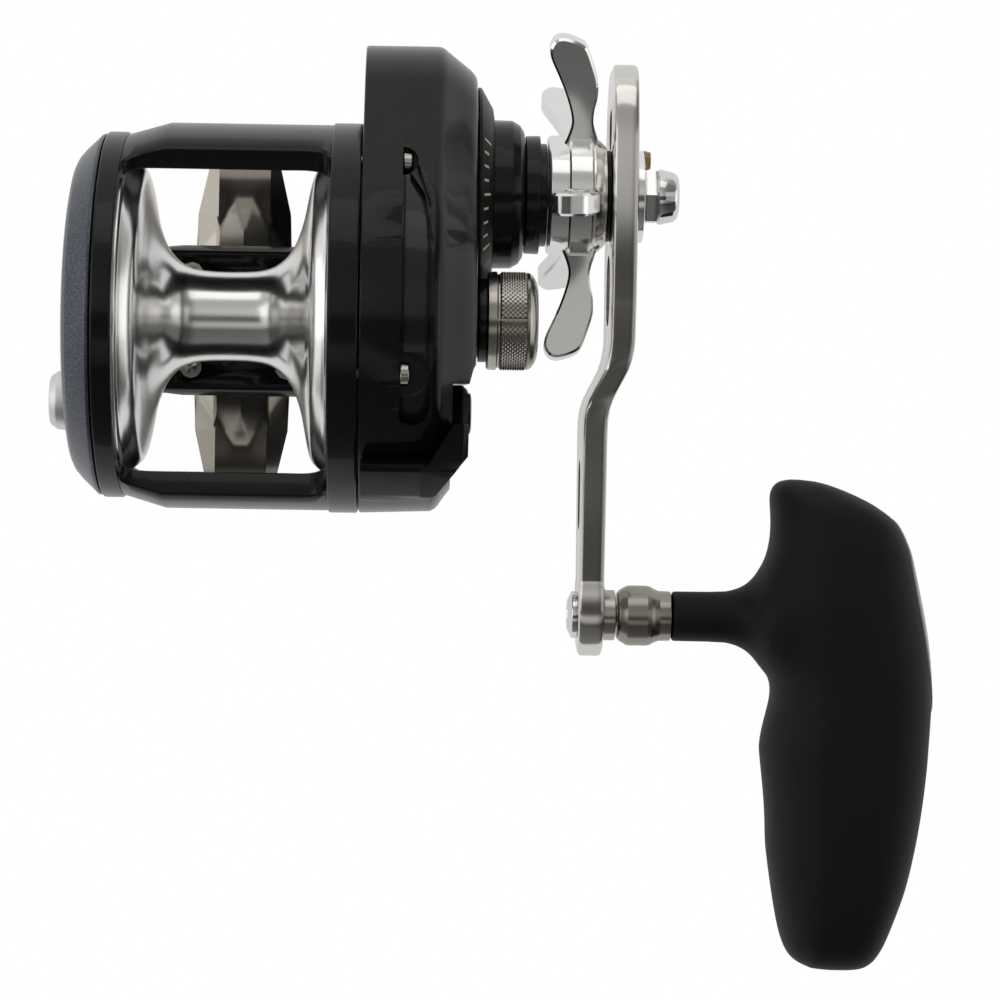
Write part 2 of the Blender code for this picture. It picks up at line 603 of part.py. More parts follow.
def make_clutch(colours, spool_axis, lever_axis):
    """Cam ring round the pinion's bearing, and the lever with its pivot and inner link."""
    pivot_angle = math.degrees(math.atan2(LEVER_RISE, LEVER_Y))
    yoke_angle = GEAR_LINE + 90.0
    first, last, steps = 56.0, 271.0, 43
    rings = []
    for i in range(steps + 1):
        angle = first + (last - first) * i / steps
        outer = 9.7 if abs(angle - pivot_angle) < 11.5 else 12.0
        climb = max(angle - yoke_angle - 20.0 if angle < 120.0 else angle - yoke_angle - 192.5, -1.0)
        top = 31.2 if climb < 0.0 or climb > 24.0 else min(34.3 + 0.125 * climb, 36.3)
        inner_r = 6.8 if top == 31.2 else 9.6
        (y0, z0), (y1, z1) = polar(inner_r, angle), polar(outer, angle)
        rings.append([(29.2, y0, z0), (29.2, y1, z1), (top, y1, z1), (top, y0, z0)])
    loft("clutch_cam", rings, colours["steel"], spool_axis)

    def towards_axis(distance, across=0.0):
        """A point from the lever pivot towards the spool axis, in lever-pivot coordinates."""
        length = math.hypot(LEVER_Y, LEVER_RISE)
        dy, dz = -LEVER_Y / length, -LEVER_RISE / length
        return distance * dy - across * dz, distance * dz + across * dy

    arm = [(-3.2, -1.6), (-1.6, -3.2), (1.6, -3.0), (LINK_LENGTH, -1.1), (LINK_LENGTH + 1.0, -0.5)]
    arm += [(s, -t) for s, t in reversed(arm)]
    arm = [towards_axis(s, t) for s, t in arm]
    pivot = [(28.7, 0.0), (28.7, 1.85), (47.95, 1.85), (47.95, 4.3), (48.7, 4.0), (48.9, 3.2), (48.9, 0.0)]
    pin = turned("lever_pivot", pivot, SMALL, colours["black_gloss"], lever_axis)
    join(pin, prism("clutch_link", 29.6, 31.0, arm, None, lever_axis))

    bar = [arc_band(x, 39.9, 42.6, 134.0, 149.0, 4) for x in (27.4, 47.6)]
    thumb_bar = loft("clutch_lever", bar, colours["black_gloss"], spool_axis)
    side = [(LEVER_Y + y, LEVER_RISE + z) for y, z in (polar(5.4, a) for a in range(-120, 61, 20))]
    side += [polar(42.2, 134.0), polar(42.5, 141.0), polar(42.2, 149.0)]
    join(thumb_bar, prism("lever_side_arm", 45.3, 47.7, convex_order(side), None, spool_axis))
    cut(thumb_bar, rod("lever_hub_bore", 44.0, 49.0, 2.05, SMALL, lever_axis))
    corner = [(42.2, -37.6), (49.3, -24.5), (58.0, -24.5), (58.0, -50.0), (42.2, -50.0)]
    rings = [[(x, y, z) for x, y in corner] for z in (-10.0, 60.0)]
    cut(thumb_bar, loft("lever_corner_cut", rings, None, spool_axis))


def convex_order(points):
    """The points in order round their middle, for a convex outline."""
    middle_y = sum(p[0] for p in points) / len(points)
    middle_z = sum(p[1] for p in points) / len(points)
    return sorted(points, key=lambda p: math.atan2(p[1] - middle_z, p[0] - middle_y))


# ---------------------------------------------------------------- drive train
def make_drive_train(colours, drive_axis):
    shaft = [(40.9, 0.0), (40.9, 2.3), (28.6, 2.3), (28.6, DRIVE_R), (63.9, DRIVE_R), (63.9, ARM_SHAFT_R)]
    shaft += [(89.2, ARM_SHAFT_R), (89.6, 2.6), (89.6, 0.0)]
    turned("drive_shaft", shaft, SMALL, colours["steel"], drive_axis)
    teeth = notch_outline(RATCHET_TEETH, 9.5, 11.0, 0.42, 0.2, DOG_TIP_ENGAGED_ANGLE)
    bored_prism("ratchet", 28.8, 29.7, teeth, DRIVE_R + 0.12, colours["steel"], drive_axis)
    gap_phase = GEAR_LINE + 180.0 + 180.0 / GEAR_TEETH
    outline = gear_outline(GEAR_TEETH, 0.85, 1.15, 0.42, gap_phase)

    gear = bored_prism("main_gear", 30.1, 33.3, outline, DRIVE_R + 0.15, colours["bronze"], drive_axis)
    cut(gear, rod("main_gear_dish", 31.1, 35.0, 17.2, ROUND, drive_axis))
    place, gap = 31.3, 0.15
    stack = (("drag_washer_1", "carbon", 16.4), ("metal_washer", "steel", 16.6))
    stack += (("drag_washer_2", "carbon", 16.4),)
    for name, finish, outer in stack:
        tube(name, place, place + 0.7, DRIVE_R + 0.3, outer, MEDIUM, colours[finish], drive_axis)
        place += 0.7 + gap
    bore = DRIVE_R + 0.2
    plate = [(place, bore), (place, 16.5), (place + 0.8, 16.5), (place + 1.4, 8.0), (place + 1.4, bore)]
    turned("pressure_plate", plate, MEDIUM, colours["steel"], drive_axis)
    place += 1.6
    cone = [(place + 0.9, bore), (place, 8.6), (place + 0.6, 8.6), (place + 1.5, bore)]
    turned("spring_washer", cone, SMALL + 4, colours["spring_steel"], drive_axis)
    sleeve_x = place + 1.7
    tube("drag_sleeve", sleeve_x, 63.9, bore, SLEEVE_R, MEDIUM, colours["steel"], drive_axis, chamfer=0.4)
    inner = SLEEVE_R + 0.25
    tube("roller_clutch", 50.2, 57.7, inner, 10.3, MEDIUM, colours["steel"], drive_axis, chamfer=0.3)
    bearing("drive_bearing", 58.9, 62.6, SLEEVE_R + 0.25, 8.7, colours["steel"], drive_axis)
    nose = [(57.9, 8.95), (57.9, 10.3), (59.6, 10.3), (59.6, 12.0), (59.9, 12.2), (62.3, 12.2), (62.6, 11.9)]
    nose += [(62.6, 10.6), (64.0, 10.6), (64.0, 6.9), (62.8, 6.9), (62.8, 8.95)]
    turned("nose_cap", nose, MEDIUM + 4, colours["black_gloss"], drive_axis)


def make_dog(colours, spool_axis, dog_axis):
    """Anti-reverse pawl beside the ratchet."""
    post_y, post_z = drive_point(*DOG_POST)
    tip_y, tip_z = drive_point(*DOG_TIP)
    length = math.hypot(tip_y - post_y, tip_z - post_z)
    dy, dz = (tip_y - post_y) / length, (tip_z - post_z) / length

    def arm_point(s, t):
        return s * dy - t * dz, s * dz + t * dy

    shape = [(-2.3, 1.2), (-2.3, -1.2), (-0.8, -2.3), (1.2, -1.9)]
    shape += [(length, -0.45), (length, 0.45), (1.2, 1.9), (-0.8, 2.3)]
    outline = [arm_point(s, t) for s, t in shape]
    dog = prism("anti_reverse_dog", 28.8, 29.7, outline, colours["steel"], dog_axis)
    cut(dog, rod("dog_hole", 28.0, 31.0, 1.45, TINY, dog_axis))


# ---------------------------------------------------------------- star, handle and grip
def make_star(colours, drive_axis):
    hub = [(64.2, ARM_SHAFT_R + 0.3), (64.2, 11.7), (64.8, 12.3), (73.8, 12.3), (75.2, 11.2), (76.2, 10.2)]
    hub += [(76.2, ARM_SHAFT_R + 0.3)]
    star = turned("star_wheel", hub, MEDIUM, colours["satin_aluminium"], drive_axis)
    blade = [(66.2, 10.6), (68.0, 13.6), (68.5, 17.4), (67.0, 23.5), (64.2, 29.6), (63.9, 31.6), (64.5, 33.6)]
    blade += [(66.0, 34.4), (70.2, 33.2), (71.6, 31.9), (73.7, 26.0)]
    blade += [(73.8, 23.4), (73.0, 17.4), (73.9, 13.4)]
    blade += [(74.6, 10.6)]
    half = 1.85
    for k in range(STAR_ARMS):
        angle = math.radians(STAR_PHASE + 360.0 * k / STAR_ARMS)
        rings = []
        for side in (-half, half):
            ring = []
            for x, radius in blade:
                y = radius * math.cos(angle) - side * math.sin(angle)
                z = radius * math.sin(angle) + side * math.cos(angle)
                ring.append((x, y, z))
            rings.append(ring)
        join(star, loft(f"star_blade_{k}", rings, None, drive_axis))


def make_handle(colours, drive_axis):
    tube("arm_spacer", 76.35, 77.1, ARM_SHAFT_R + 0.3, 9.4, MEDIUM, colours["black_satin"], drive_axis)
    thick = 2.5
    outer_x, inner_x = 79.7, 74.4
    sections = ((-26.9, outer_x, 1.7, 3.4), (-26.0, outer_x, 2.3, 6.4), (-23.5, outer_x, thick, 9.9))
    sections += ((-19.0, outer_x, thick, 12.3), (-12.0, outer_x, thick, 13.8), (1.1, outer_x, thick, 14.0))
    sections += ((21.0, outer_x, thick, 13.2), (31.0, outer_x - 0.1, thick, 12.4))
    sections += ((34.0, outer_x - 0.6, thick, 12.1),)
    sections += ((37.0, outer_x - 1.8, thick, 11.9), (40.0, inner_x + 1.9, thick, 11.7))
    sections += ((43.0, inner_x + 0.65, thick, 11.5), (46.0, inner_x + 0.1, thick, 11.2))
    sections += ((60.0, inner_x, thick, 10.1),)
    sections += ((79.5, inner_x, thick, 8.5), (81.0, inner_x, thick, 8.75), (86.4, inner_x, thick, 8.7))
    sections += ((90.4, inner_x, thick, 7.5), (92.8, inner_x, 2.4, 5.6), (94.2, inner_x, 2.1, 3.4))
    sections += ((94.7, inner_x, 1.6, 1.7),)
    rings = []
    for reach, x, half_x, half_z in sections:
        bevel = min(0.7, 0.4 * half_x, 0.4 * half_z)
        corners = [(half_x, half_z - bevel), (half_x - bevel, half_z)]
        corners += [(bevel - half_x, half_z), (-half_x, half_z - bevel)]
        ring = corners + [(-a, -b) for a, b in corners]
        rings.append([(x + a, -reach, b) for a, b in ring])
    arm = loft("handle_arm", rings, colours["arm_aluminium"], drive_axis)
    cut(arm, rod("arm_shaft_bore", 70.0, 90.0, ARM_SHAFT_R + 0.2, SMALL, drive_axis))
    cut(arm, rod("arm_knob_bore", 68.0, 80.0, 2.3, SMALL, drive_axis, (-CRANK_LENGTH, 0.0)))
    cut(arm, rod("arm_retainer_hole", 76.0, 90.0, 1.2, TINY, drive_axis, RETAINER_SCREW))
    for k, (near, far, radius) in enumerate(((-14.3, -12.9, 3.6), (17.4, 21.7, 5.2), (57.7, 65.7, 3.2))):
        slot = stadium((-near, 0.0), (-far, 0.0), radius)
        cut(arm, prism(f"arm_slot_{k}", 68.0, 90.0, slot, None, drive_axis))
    plate = [(82.3, ARM_SHAFT_R + 0.3), (82.3, 9.1), (82.7, 9.5), (83.8, 9.4), (83.9, ARM_SHAFT_R + 0.3)]
    retainer = turned("nut_retainer", plate, MEDIUM, colours["satin_aluminium"], drive_axis)
    cut(retainer, rod("retainer_screw_hole", 81.0, 86.0, 1.2, TINY, drive_axis, RETAINER_SCREW))
    screw("retainer_screw", 84.05, 4.4, 0.95, 2.1, 1.4, colours["brass"], drive_axis, RETAINER_SCREW)
    nut_bore, count = ARM_SHAFT_R + 0.25, 12
    rings = [[(90.1, 0.0, 0.0)], at_x(90.1, circle(nut_bore, count)), at_x(84.1, circle(nut_bore, count))]
    hexagons = ((84.1, 4.9), (84.5, 5.2), (86.5, 5.2), (86.9, 4.9))
    rings += [at_x(x, hexagon(flat, count)) for x, flat in hexagons]
    dome = ((87.0, 5.4), (87.4, 5.65), (89.9, 5.2), (90.9, 4.4), (91.4, 3.3))
    rings += [at_x(x, circle(radius, count)) for x, radius in dome] + [[(91.5, 0.0, 0.0)]]
    loft("handle_nut", rings, colours["chrome"], drive_axis)


def make_knob_hardware(colours, knob_axis):
    bolt = [(69.8, 0.0), (69.8, 3.2), (70.7, 4.85), (71.8, 4.85), (71.8, 2.0), (110.8, 2.0), (110.8, 3.0)]
    bolt += [(111.8, 2.8), (112.2, 1.8), (112.2, 0.0)]
    turned("knob_post", bolt, SMALL + 4, colours["chrome"], knob_axis)
    tube("knob_collar", 77.0, 79.6, 2.2, 5.2, MEDIUM - 8, colours["nickel"], knob_axis, chamfer=0.3)
    ferrule = [(80.0, 2.25), (80.0, 4.8), (82.2, 6.2), (86.1, 6.2), (87.4, 5.8), (88.8, 5.15), (91.1, 5.1)]
    ferrule += [(91.1, 2.25)]
    turned("grip_ferrule", ferrule, MEDIUM, colours["nickel"], knob_axis)
    bearing("knob_bearing", 107.0, 110.5, 2.2, 4.45, colours["steel"], knob_axis)


def grip_sections():
    """(y, x low, x high, half thickness) along the grip, from its front end to its rear end."""
    front = ((28.6, 113.6, 117.6, 3.2), (27.5, 111.8, 123.4, 7.2))
    front += ((24.7, 110.9, 129.9, 10.4), (19.9, 111.2, 137.2, 12.8))
    middle = ((14.7, 110.6, 139.8, 13.8), (5.7, 107.5, 142.0, 14.6), (-3.2, 107.5, 143.7, 15.0))
    middle += ((-11.2, 111.4, 144.6, 15.0), (-19.2, 110.7, 144.8, 15.0), (-27.2, 109.1, 144.4, 14.9))
    rear = ((-37.1, 110.6, 143.5, 14.6), (-49.1, 111.3, 141.5, 14.1), (-59.1, 112.8, 138.8, 13.0))
    rear += ((-66.0, 114.5, 136.1, 11.4), (-69.8, 116.9, 134.2, 8.8), (-71.6, 121.0, 131.6, 5.0))
    return front + middle + rear


def make_grip(colours, knob_axis):
    count = 20
    rings = []
    for y, low, high, half in grip_sections():
        middle, half_x = 0.5 * (low + high), 0.5 * (high - low)
        ring = []
        for i in range(count):
            a = 2.0 * math.pi * i / count
            ca, sa = math.cos(a), math.sin(a)
            x = middle + half_x * math.copysign(abs(ca) ** (0.55 if ca > 0.0 else 0.85), ca)
            ring.append((x, y, half * math.copysign(abs(sa) ** 0.82, sa)))
        rings.append(ring)
    grip = loft("grip", rings, colours["grip_rubber"], knob_axis)
    neck = [(91.4, 0.0), (91.4, 5.15), (102.5, 5.2), (105.5, 6.4), (108.3, 9.2), (113.0, 11.5), (119.0, 0.0)]
    join(grip, turned("grip_neck", neck, SMALL, None, knob_axis, phase=7.0))
    cut(grip, rod("grip_bore", 88.0, 150.0, 4.7, SMALL, knob_axis))
    recess = grip_inlay_prism("grip_inlay_recess", 0.35, None, 140.0, 151.0, knob_axis)
    cut(grip, recess)
    grip_inlay_prism("grip_inlay", 0.0, colours["inlay"], 140.25, 141.7, knob_axis)


def grip_inlay_prism(name, grow, finish, x0, x1, parent):
    """The oval plate let into the grip's outer face, leaning with that face."""
    lean = 0.187
    half_y, half_z, count = 19.0 + grow, 7.5 + grow, 20
    rings = []
    for x in (x0, x1):
        ring = []
        for i in range(count):
            y, z = half_y * math.cos(2.0 * math.pi * i / count), half_z * math.sin(2.0 * math.pi * i / count)
            ring.append((x - lean * y, y, z))
        rings.append(ring)
    return loft(name, rings, finish, parent)


# ---------------------------------------------------------------- assembly
def main():
    clear_scene()
    colours = make_materials()
    spool_axis = axis_empty("spool_axis", 0.0, 0.0, SPOOL_Z)
    drive_axis = axis_empty("drive_axis", 0.0, DRIVE_Y, DRIVE_Z)
    knob_axis = axis_empty("knob_axis", 0.0, DRIVE_Y - CRANK_LENGTH, DRIVE_Z)
    click_axis = axis_empty("click_axis", 0.0, CLICK_Y, SPOOL_Z - CLICK_DROP)
    lever_axis = axis_empty("lever_axis", 0.0, LEVER_Y, SPOOL_Z + LEVER_RISE)
    dog_y, dog_z = drive_point(*DOG_POST)
    dog_axis = axis_empty("dog_axis", 0.0, dog_y, SPOOL_Z + dog_z)
    make_frame(colours["black_gloss"], spool_axis)
    make_foot(colours["nickel"], colours["nickel"])
    make_left_plate(colours, spool_axis, click_axis)
    make_clicker(colours, click_axis)
    make_spool(colours, spool_axis)
    make_gear_plate(colours, spool_axis, drive_axis)
    make_housing(colours, spool_axis, drive_axis)
    make_housing_trim(colours, spool_axis, drive_axis)
    make_tension_control(colours, spool_axis)
    make_pinion(colours, spool_axis)
    make_yoke(colours, spool_axis)
    make_clutch(colours, spool_axis, lever_axis)
    make_drive_train(colours, drive_axis)
    make_dog(colours, spool_axis, dog_axis)
    make_star(colours, drive_axis)
    make_handle(colours, drive_axis)
    make_knob_hardware(colours, knob_axis)
    make_grip(colours, knob_axis)


main()
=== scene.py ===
"""The looks of the trolling reel: its visible pieces in detail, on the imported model's bodies.

The frame is the model's own: metres, +X along the spool axis towards the crank, +Y forward, +Z up.
Shapes are written in millimetres and turned into metres as each mesh is made.
"""

import math

import bmesh
import bpy
import numpy as np
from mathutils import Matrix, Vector


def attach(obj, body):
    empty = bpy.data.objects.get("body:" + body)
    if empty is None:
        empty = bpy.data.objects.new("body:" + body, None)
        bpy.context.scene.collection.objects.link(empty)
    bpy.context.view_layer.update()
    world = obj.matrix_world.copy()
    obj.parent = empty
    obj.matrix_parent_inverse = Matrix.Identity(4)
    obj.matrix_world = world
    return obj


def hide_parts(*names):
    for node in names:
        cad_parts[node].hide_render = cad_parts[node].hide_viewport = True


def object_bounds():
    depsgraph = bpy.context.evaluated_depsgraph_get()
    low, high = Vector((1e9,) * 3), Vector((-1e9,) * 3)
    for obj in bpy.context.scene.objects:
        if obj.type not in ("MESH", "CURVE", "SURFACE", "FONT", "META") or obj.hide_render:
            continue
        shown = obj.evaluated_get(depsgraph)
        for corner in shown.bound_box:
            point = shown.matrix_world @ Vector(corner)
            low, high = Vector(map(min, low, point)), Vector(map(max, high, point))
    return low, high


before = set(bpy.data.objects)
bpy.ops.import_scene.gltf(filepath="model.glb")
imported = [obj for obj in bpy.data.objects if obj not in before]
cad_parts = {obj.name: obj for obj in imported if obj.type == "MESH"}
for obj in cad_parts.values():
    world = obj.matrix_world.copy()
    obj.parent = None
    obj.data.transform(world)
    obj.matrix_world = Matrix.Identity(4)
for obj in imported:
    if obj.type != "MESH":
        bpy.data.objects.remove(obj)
cad_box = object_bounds()

MM = 0.001
SPOOL = (0.0, 48.0)  # each axis runs along X and is given by its Y and Z
DRIVE = (26.401, 36.0)
KNOB = (-59.999, 36.0)
CLICK = (-17.5, 38.0)
PIVOT = (-18.8, 58.0)
PLATE_SCREWS = (35.5, 108.0, 205.0, 262.0)
PLATE_SCREW_R = 36.8
RETAINER_SCREW = (DRIVE[0] + 7.45, DRIVE[1])
SIDES = 160  # round the largest turned pieces
BACKDROP = 1.05  # what the camera sees behind the floor
FLOOR_IN_GLOSS = 0.6  # how much of the floor's white is seen in reflections


# ---------------------------------------------------------------- camera
def make_camera():
    data = bpy.data.cameras.new("camera")
    data.sensor_width = 36.0
    data.lens = 107.8
    data.shift_x = 0.09
    data.shift_y = -0.10
    camera = bpy.data.objects.new("camera", data)
    camera.location = (36.7 * MM, -16.3 * MM, 654.0 * MM)
    camera.rotation_euler = (0.0, 0.0, math.radians(0.95))
    bpy.context.scene.collection.objects.link(camera)
    bpy.context.scene.camera = camera


# ---------------------------------------------------------------- materials
def shader_of(name):
    made = bpy.data.materials.new(name)
    made.use_nodes = True
    return made, made.node_tree, made.node_tree.nodes["Principled BSDF"]


def bump(tree, shader, height, strength, distance):
    node = tree.nodes.new("ShaderNodeBump")
    node.inputs["Strength"].default_value = strength
    node.inputs["Distance"].default_value = distance
    tree.links.new(height, node.inputs["Height"])
    tree.links.new(node.outputs["Normal"], shader.inputs["Normal"])


def noise(tree, scale, detail=2.0, stretch=(1.0, 1.0, 1.0)):
    place = tree.nodes.new("ShaderNodeTexCoord")
    mapping = tree.nodes.new("ShaderNodeMapping")
    mapping.inputs["Scale"].default_value = stretch
    tree.links.new(place.outputs["Object"], mapping.inputs["Vector"])
    node = tree.nodes.new("ShaderNodeTexNoise")
    node.inputs["Scale"].default_value = scale
    node.inputs["Detail"].default_value = detail
    tree.links.new(mapping.outputs["Vector"], node.inputs["Vector"])
    return node.outputs["Fac"]


def ramp(tree, value, low, high, at=(0.0, 1.0)):
    node = tree.nodes.new("ShaderNodeValToRGB")
    node.color_ramp.elements[0].position = at[0]
    node.color_ramp.elements[1].position = at[1]
    node.color_ramp.elements[0].color = (*low, 1.0)
    node.color_ramp.elements[1].color = (*high, 1.0)
    tree.links.new(value, node.inputs["Fac"])
    return node.outputs["Color"]


def metal(name, color, roughness, grain=0.0, stretch=(1.0, 1.0, 1.0), wear=0.06):
    """Bare metal, with fine machining grain across the stretched directions and slightly uneven polish."""
    made, tree, shader = shader_of(name)
    shader.inputs["Base Color"].default_value = (*color, 1.0)
    shader.inputs["Metallic"].default_value = 1.0
    low, high = roughness * (1.0 - wear), roughness * (1.0 + 3.0 * wear)
    uneven = ramp(tree, noise(tree, 90.0, 4.0), (low,) * 3, (high,) * 3, (0.3, 0.75))
    tree.links.new(uneven, shader.inputs["Roughness"])
    if grain:
        bump(tree, shader, noise(tree, 900.0, 3.0, stretch), grain, 0.00004)
    return made


def paint(name, color, roughness, flake=None, metallic=0.0, coat=0.4, peel=0.02):
    """Sprayed paint under a clear coat; the flake colour speckles it."""
    made, tree, shader = shader_of(name)
    shader.inputs["Base Color"].default_value = (*color, 1.0)
    shader.inputs["Roughness"].default_value = roughness
    shader.inputs["Metallic"].default_value = metallic
    shader.inputs["Coat Weight"].default_value = coat
    shader.inputs["Coat Roughness"].default_value = 0.06
    shader.inputs["Specular IOR Level"].default_value = 0.17
    speckle = ramp(tree, noise(tree, 3800.0, 1.0), color, flake or color, (0.50, 0.78))
    tree.links.new(speckle, shader.inputs["Base Color"])
    bump(tree, shader, noise(tree, 700.0, 2.0), peel, 0.0001)
    return made


def rubber(name, color, roughness):
    made, tree, shader = shader_of(name)
    shader.inputs["Base Color"].default_value = (*color, 1.0)
    shader.inputs["Roughness"].default_value = roughness
    shader.inputs["Specular IOR Level"].default_value = 0.25
    bump(tree, shader, noise(tree, 2600.0, 3.0), 0.25, 0.00008)
    return made


def make_materials():
    turned_grain = (30.0, 0.6, 0.6)
    return {
        "black": paint("gloss_black", (0.0035, 0.0035, 0.004), 0.26, (0.013, 0.0135, 0.017), coat=0.27),
        # painted shade: the lever's paint is a darker, less glossy copy of gloss_black, so the lever at the
        # rear of the housing reads darker
        "lever": paint("lever_shaded_black", (0.004, 0.004, 0.0045), 0.3, (0.008, 0.008, 0.01), coat=0.12),
        "charcoal": paint("charcoal", (0.012, 0.012, 0.013), 0.3, (0.022, 0.022, 0.025), coat=0.5),
        "satin": paint("satin_black", (0.006, 0.006, 0.0065), 0.4, coat=0.1),
        "slate": paint("slate_paint", (0.055, 0.063, 0.082), 0.36, (0.2, 0.22, 0.27), 0.55, 0.3),
        "spool": metal("spool_aluminium", (0.93, 0.925, 0.915), 0.2, 0.05, turned_grain),
        "star": metal("star_aluminium", (0.92, 0.915, 0.905), 0.14),
        "arm": metal("arm_aluminium", (0.76, 0.745, 0.705), 0.13, 0.06, (1.0, 0.05, 1.0)),
        "nickel": metal("nickel", (0.47, 0.45, 0.405), 0.2, 0.06, turned_grain),
        "ferrule": metal("ferrule_nickel", (0.33, 0.315, 0.28), 0.2, 0.06, turned_grain),
        "foot": metal("foot_nickel", (0.45, 0.42, 0.37), 0.15),
        "chrome": metal("chrome", (0.80, 0.80, 0.80), 0.07),
        "steel": metal("steel", (0.62, 0.62, 0.61), 0.24, 0.08, turned_grain),
        "brass": metal("dark_brass", (0.34, 0.26, 0.14), 0.3),
        "button": metal("button_aluminium", (0.8, 0.8, 0.81), 0.42),
        "rubber": rubber("grip_rubber", (0.0045, 0.0045, 0.0045), 0.58),
        "inlay": paint("inlay", (0.42, 0.44, 0.42), 0.35, metallic=0.5, coat=0.2),
        "mark": paint("index_mark", (0.75, 0.70, 0.50), 0.5, coat=0.0, peel=0.0),
    }


# ---------------------------------------------------------------- mesh helpers
def polar(radius, degrees, centre=(0.0, 0.0)):
    angle = math.radians(degrees)
    return centre[0] + radius * math.cos(angle), centre[1] + radius * math.sin(angle)


def mesh_object(name, points, faces, finish=None, sharp=32.0):
    """A mesh object from points in millimetres, faces out, smooth except across sharp edges."""
    mesh = bpy.data.meshes.new(name)
    mesh.from_pydata([tuple(c * MM for c in p) for p in points], [], faces)
    shape = bmesh.new()
    shape.from_mesh(mesh)
    bmesh.ops.recalc_face_normals(shape, faces=shape.faces)
    shape.to_mesh(mesh)
    shape.free()
    obj = bpy.data.objects.new(name, mesh)
    bpy.context.scene.collection.objects.link(obj)
    smooth(obj, sharp)
    if finish:
        mesh.materials.append(finish)
    return obj


def smooth(obj, sharp=32.0):
    obj.data.shade_smooth()
    obj.data.set_sharp_from_angle(angle=math.radians(sharp))


def loft(name, rings, finish=None, loop=False, sharp=32.0):
    """One closed body through rings of points. A one-point ring is a pole; loop joins the ends."""
    points, starts, faces = [], [], []
    for ring in rings:
        starts.append(len(points))
        points += ring
    pairs = [(k, k + 1) for k in range(len(rings) - 1)]
    if loop:
        pairs.append((len(rings) - 1, 0))
    for a, b in pairs:
        count_a, count_b = len(rings[a]), len(rings[b])
        count = max(count_a, count_b)
        for i in range(count):
            j = (i + 1) % count
            corners = (
                starts[a] + i % count_a,
                starts[a] + j % count_a,
                starts[b] + j % count_b,
                starts[b] + i % count_b,
            )
            faces.append(list(dict.fromkeys(corners)))
    if not loop:
        for k in (0, len(rings) - 1):
            if len(rings[k]) > 1:
                faces.append([starts[k] + i for i in range(len(rings[k]))])
    return mesh_object(name, points, faces, finish, sharp)


def rounded(points, radius, steps=3, closed=False):
    """The polyline with each corner turned into a small arc of up to this radius."""
    result, count = [], len(points)
    for i, here in enumerate(points):
        if not closed and i in (0, count - 1):
            result.append(here)
            continue
        before, after = points[i - 1], points[(i + 1) % count]
        a = Vector((before[0] - here[0], before[1] - here[1]))
        b = Vector((after[0] - here[0], after[1] - here[1]))
        if a.length < 1e-6 or b.length < 1e-6:
            result.append(here)
            continue
        turn = math.pi - a.angle(b)
        if turn < math.radians(7.0):
            result.append(here)
            continue
        reach = min(radius * math.tan(turn / 2.0), 0.45 * a.length, 0.45 * b.length)
        start = Vector(here) + a.normalized() * reach
        end = Vector(here) + b.normalized() * reach
        for k in range(steps + 1):
            t = k / steps
            spot = start * (1 - t) ** 2 + Vector(here) * 2 * t * (1 - t) + end * t * t
            result.append((spot.x, spot.y))
    return result


def lathe(name, profile, centre, finish, radius=0.25, segments=128, steps=3):
    """A piece turned about an X axis from (x, radius) corners, with every edge broken."""
    on_axis = profile[0][1] == 0.0 and profile[-1][1] == 0.0
    line = rounded(profile, radius, steps, closed=not on_axis)
    rings = []
    for x, r in line:
        if r <= 1e-6:
            rings.append([(x, *centre)])
        else:
            rings.append([(x, *polar(r, 360.0 * i / segments, centre)) for i in range(segments)])
    return loft(name, rings, finish, loop=not on_axis)


def prism(name, outline, low, high, finish=None, axis="x"):
    """An outline swept along X or Z: its two numbers are the other two axes, in order."""
    order = {"x": lambda a, b, c: (c, a, b), "z": lambda a, b, c: (a, b, c)}[axis]
    rings = [[order(a, b, level) for a, b in outline] for level in (low, high)]
    return loft(name, rings, finish)


def circle(radius, centre=(0.0, 0.0), count=48):
    return [polar(radius, 360.0 * i / count, centre) for i in range(count)]


def stadium(start, end, radius, count=12):
    along = math.degrees(math.atan2(end[1] - start[1], end[0] - start[0]))
    outline = []
    for centre, first in ((end, along - 90.0), (start, along + 90.0)):
        outline += [polar(radius, first + 180.0 * i / count, centre) for i in range(count + 1)]
    return outline


def shrink(outline, distance):
    """The closed outline moved inwards along its corners' bisectors."""
    area = sum(a[0] * b[1] - b[0] * a[1] for a, b in zip(outline, outline[1:] + outline[:1]))
    turn = 1.0 if area > 0.0 else -1.0
    result = []
    for i, here in enumerate(outline):
        before, after = outline[i - 1], outline[(i + 1) % len(outline)]
        a = Vector((here[0] - before[0], here[1] - before[1])).normalized()
        b = Vector((after[0] - here[0], after[1] - here[1])).normalized()
        across = Vector((-(a.y + b.y), a.x + b.x)) * turn
        reach = distance / max(0.35, across.length / 2.0)
        across.normalize()
        result.append((here[0] + across.x * reach, here[1] + across.y * reach))
    return result


def smooth_table(rows, count):
    """Rows resampled by a Catmull-Rom curve, evenly in their index."""
    rows = [np.array(r, float) for r in rows]
    rows = [2 * rows[0] - rows[1]] + rows + [2 * rows[-1] - rows[-2]]
    result = []
    spans = len(rows) - 3
    for i in range(count + 1):
        place = min(i * spans / count, spans - 1e-9)
        k = int(place)
        t = place - k
        a, b, c, d = rows[k : k + 4]
        square, cube = 2 * a - 5 * b + 4 * c - d, 3 * b - a - 3 * c + d
        result.append(0.5 * (2 * b + (c - a) * t + square * t**2 + cube * t**3))
    return result


def bake(obj):
    """Turns the object's modifiers into its mesh."""
    bpy.context.view_layer.update()
    graph = bpy.context.evaluated_depsgraph_get()
    fresh = bpy.data.meshes.new_from_object(obj.evaluated_get(graph))
    obj.modifiers.clear()
    obj.data = fresh


def combine(obj, tool, operation="DIFFERENCE"):
    modifier = obj.modifiers.new("combine", "BOOLEAN")
    modifier.operation = operation
    modifier.solver = "EXACT"
    modifier.object = tool
    bake(obj)
    bpy.data.objects.remove(tool, do_unlink=True)
    return obj


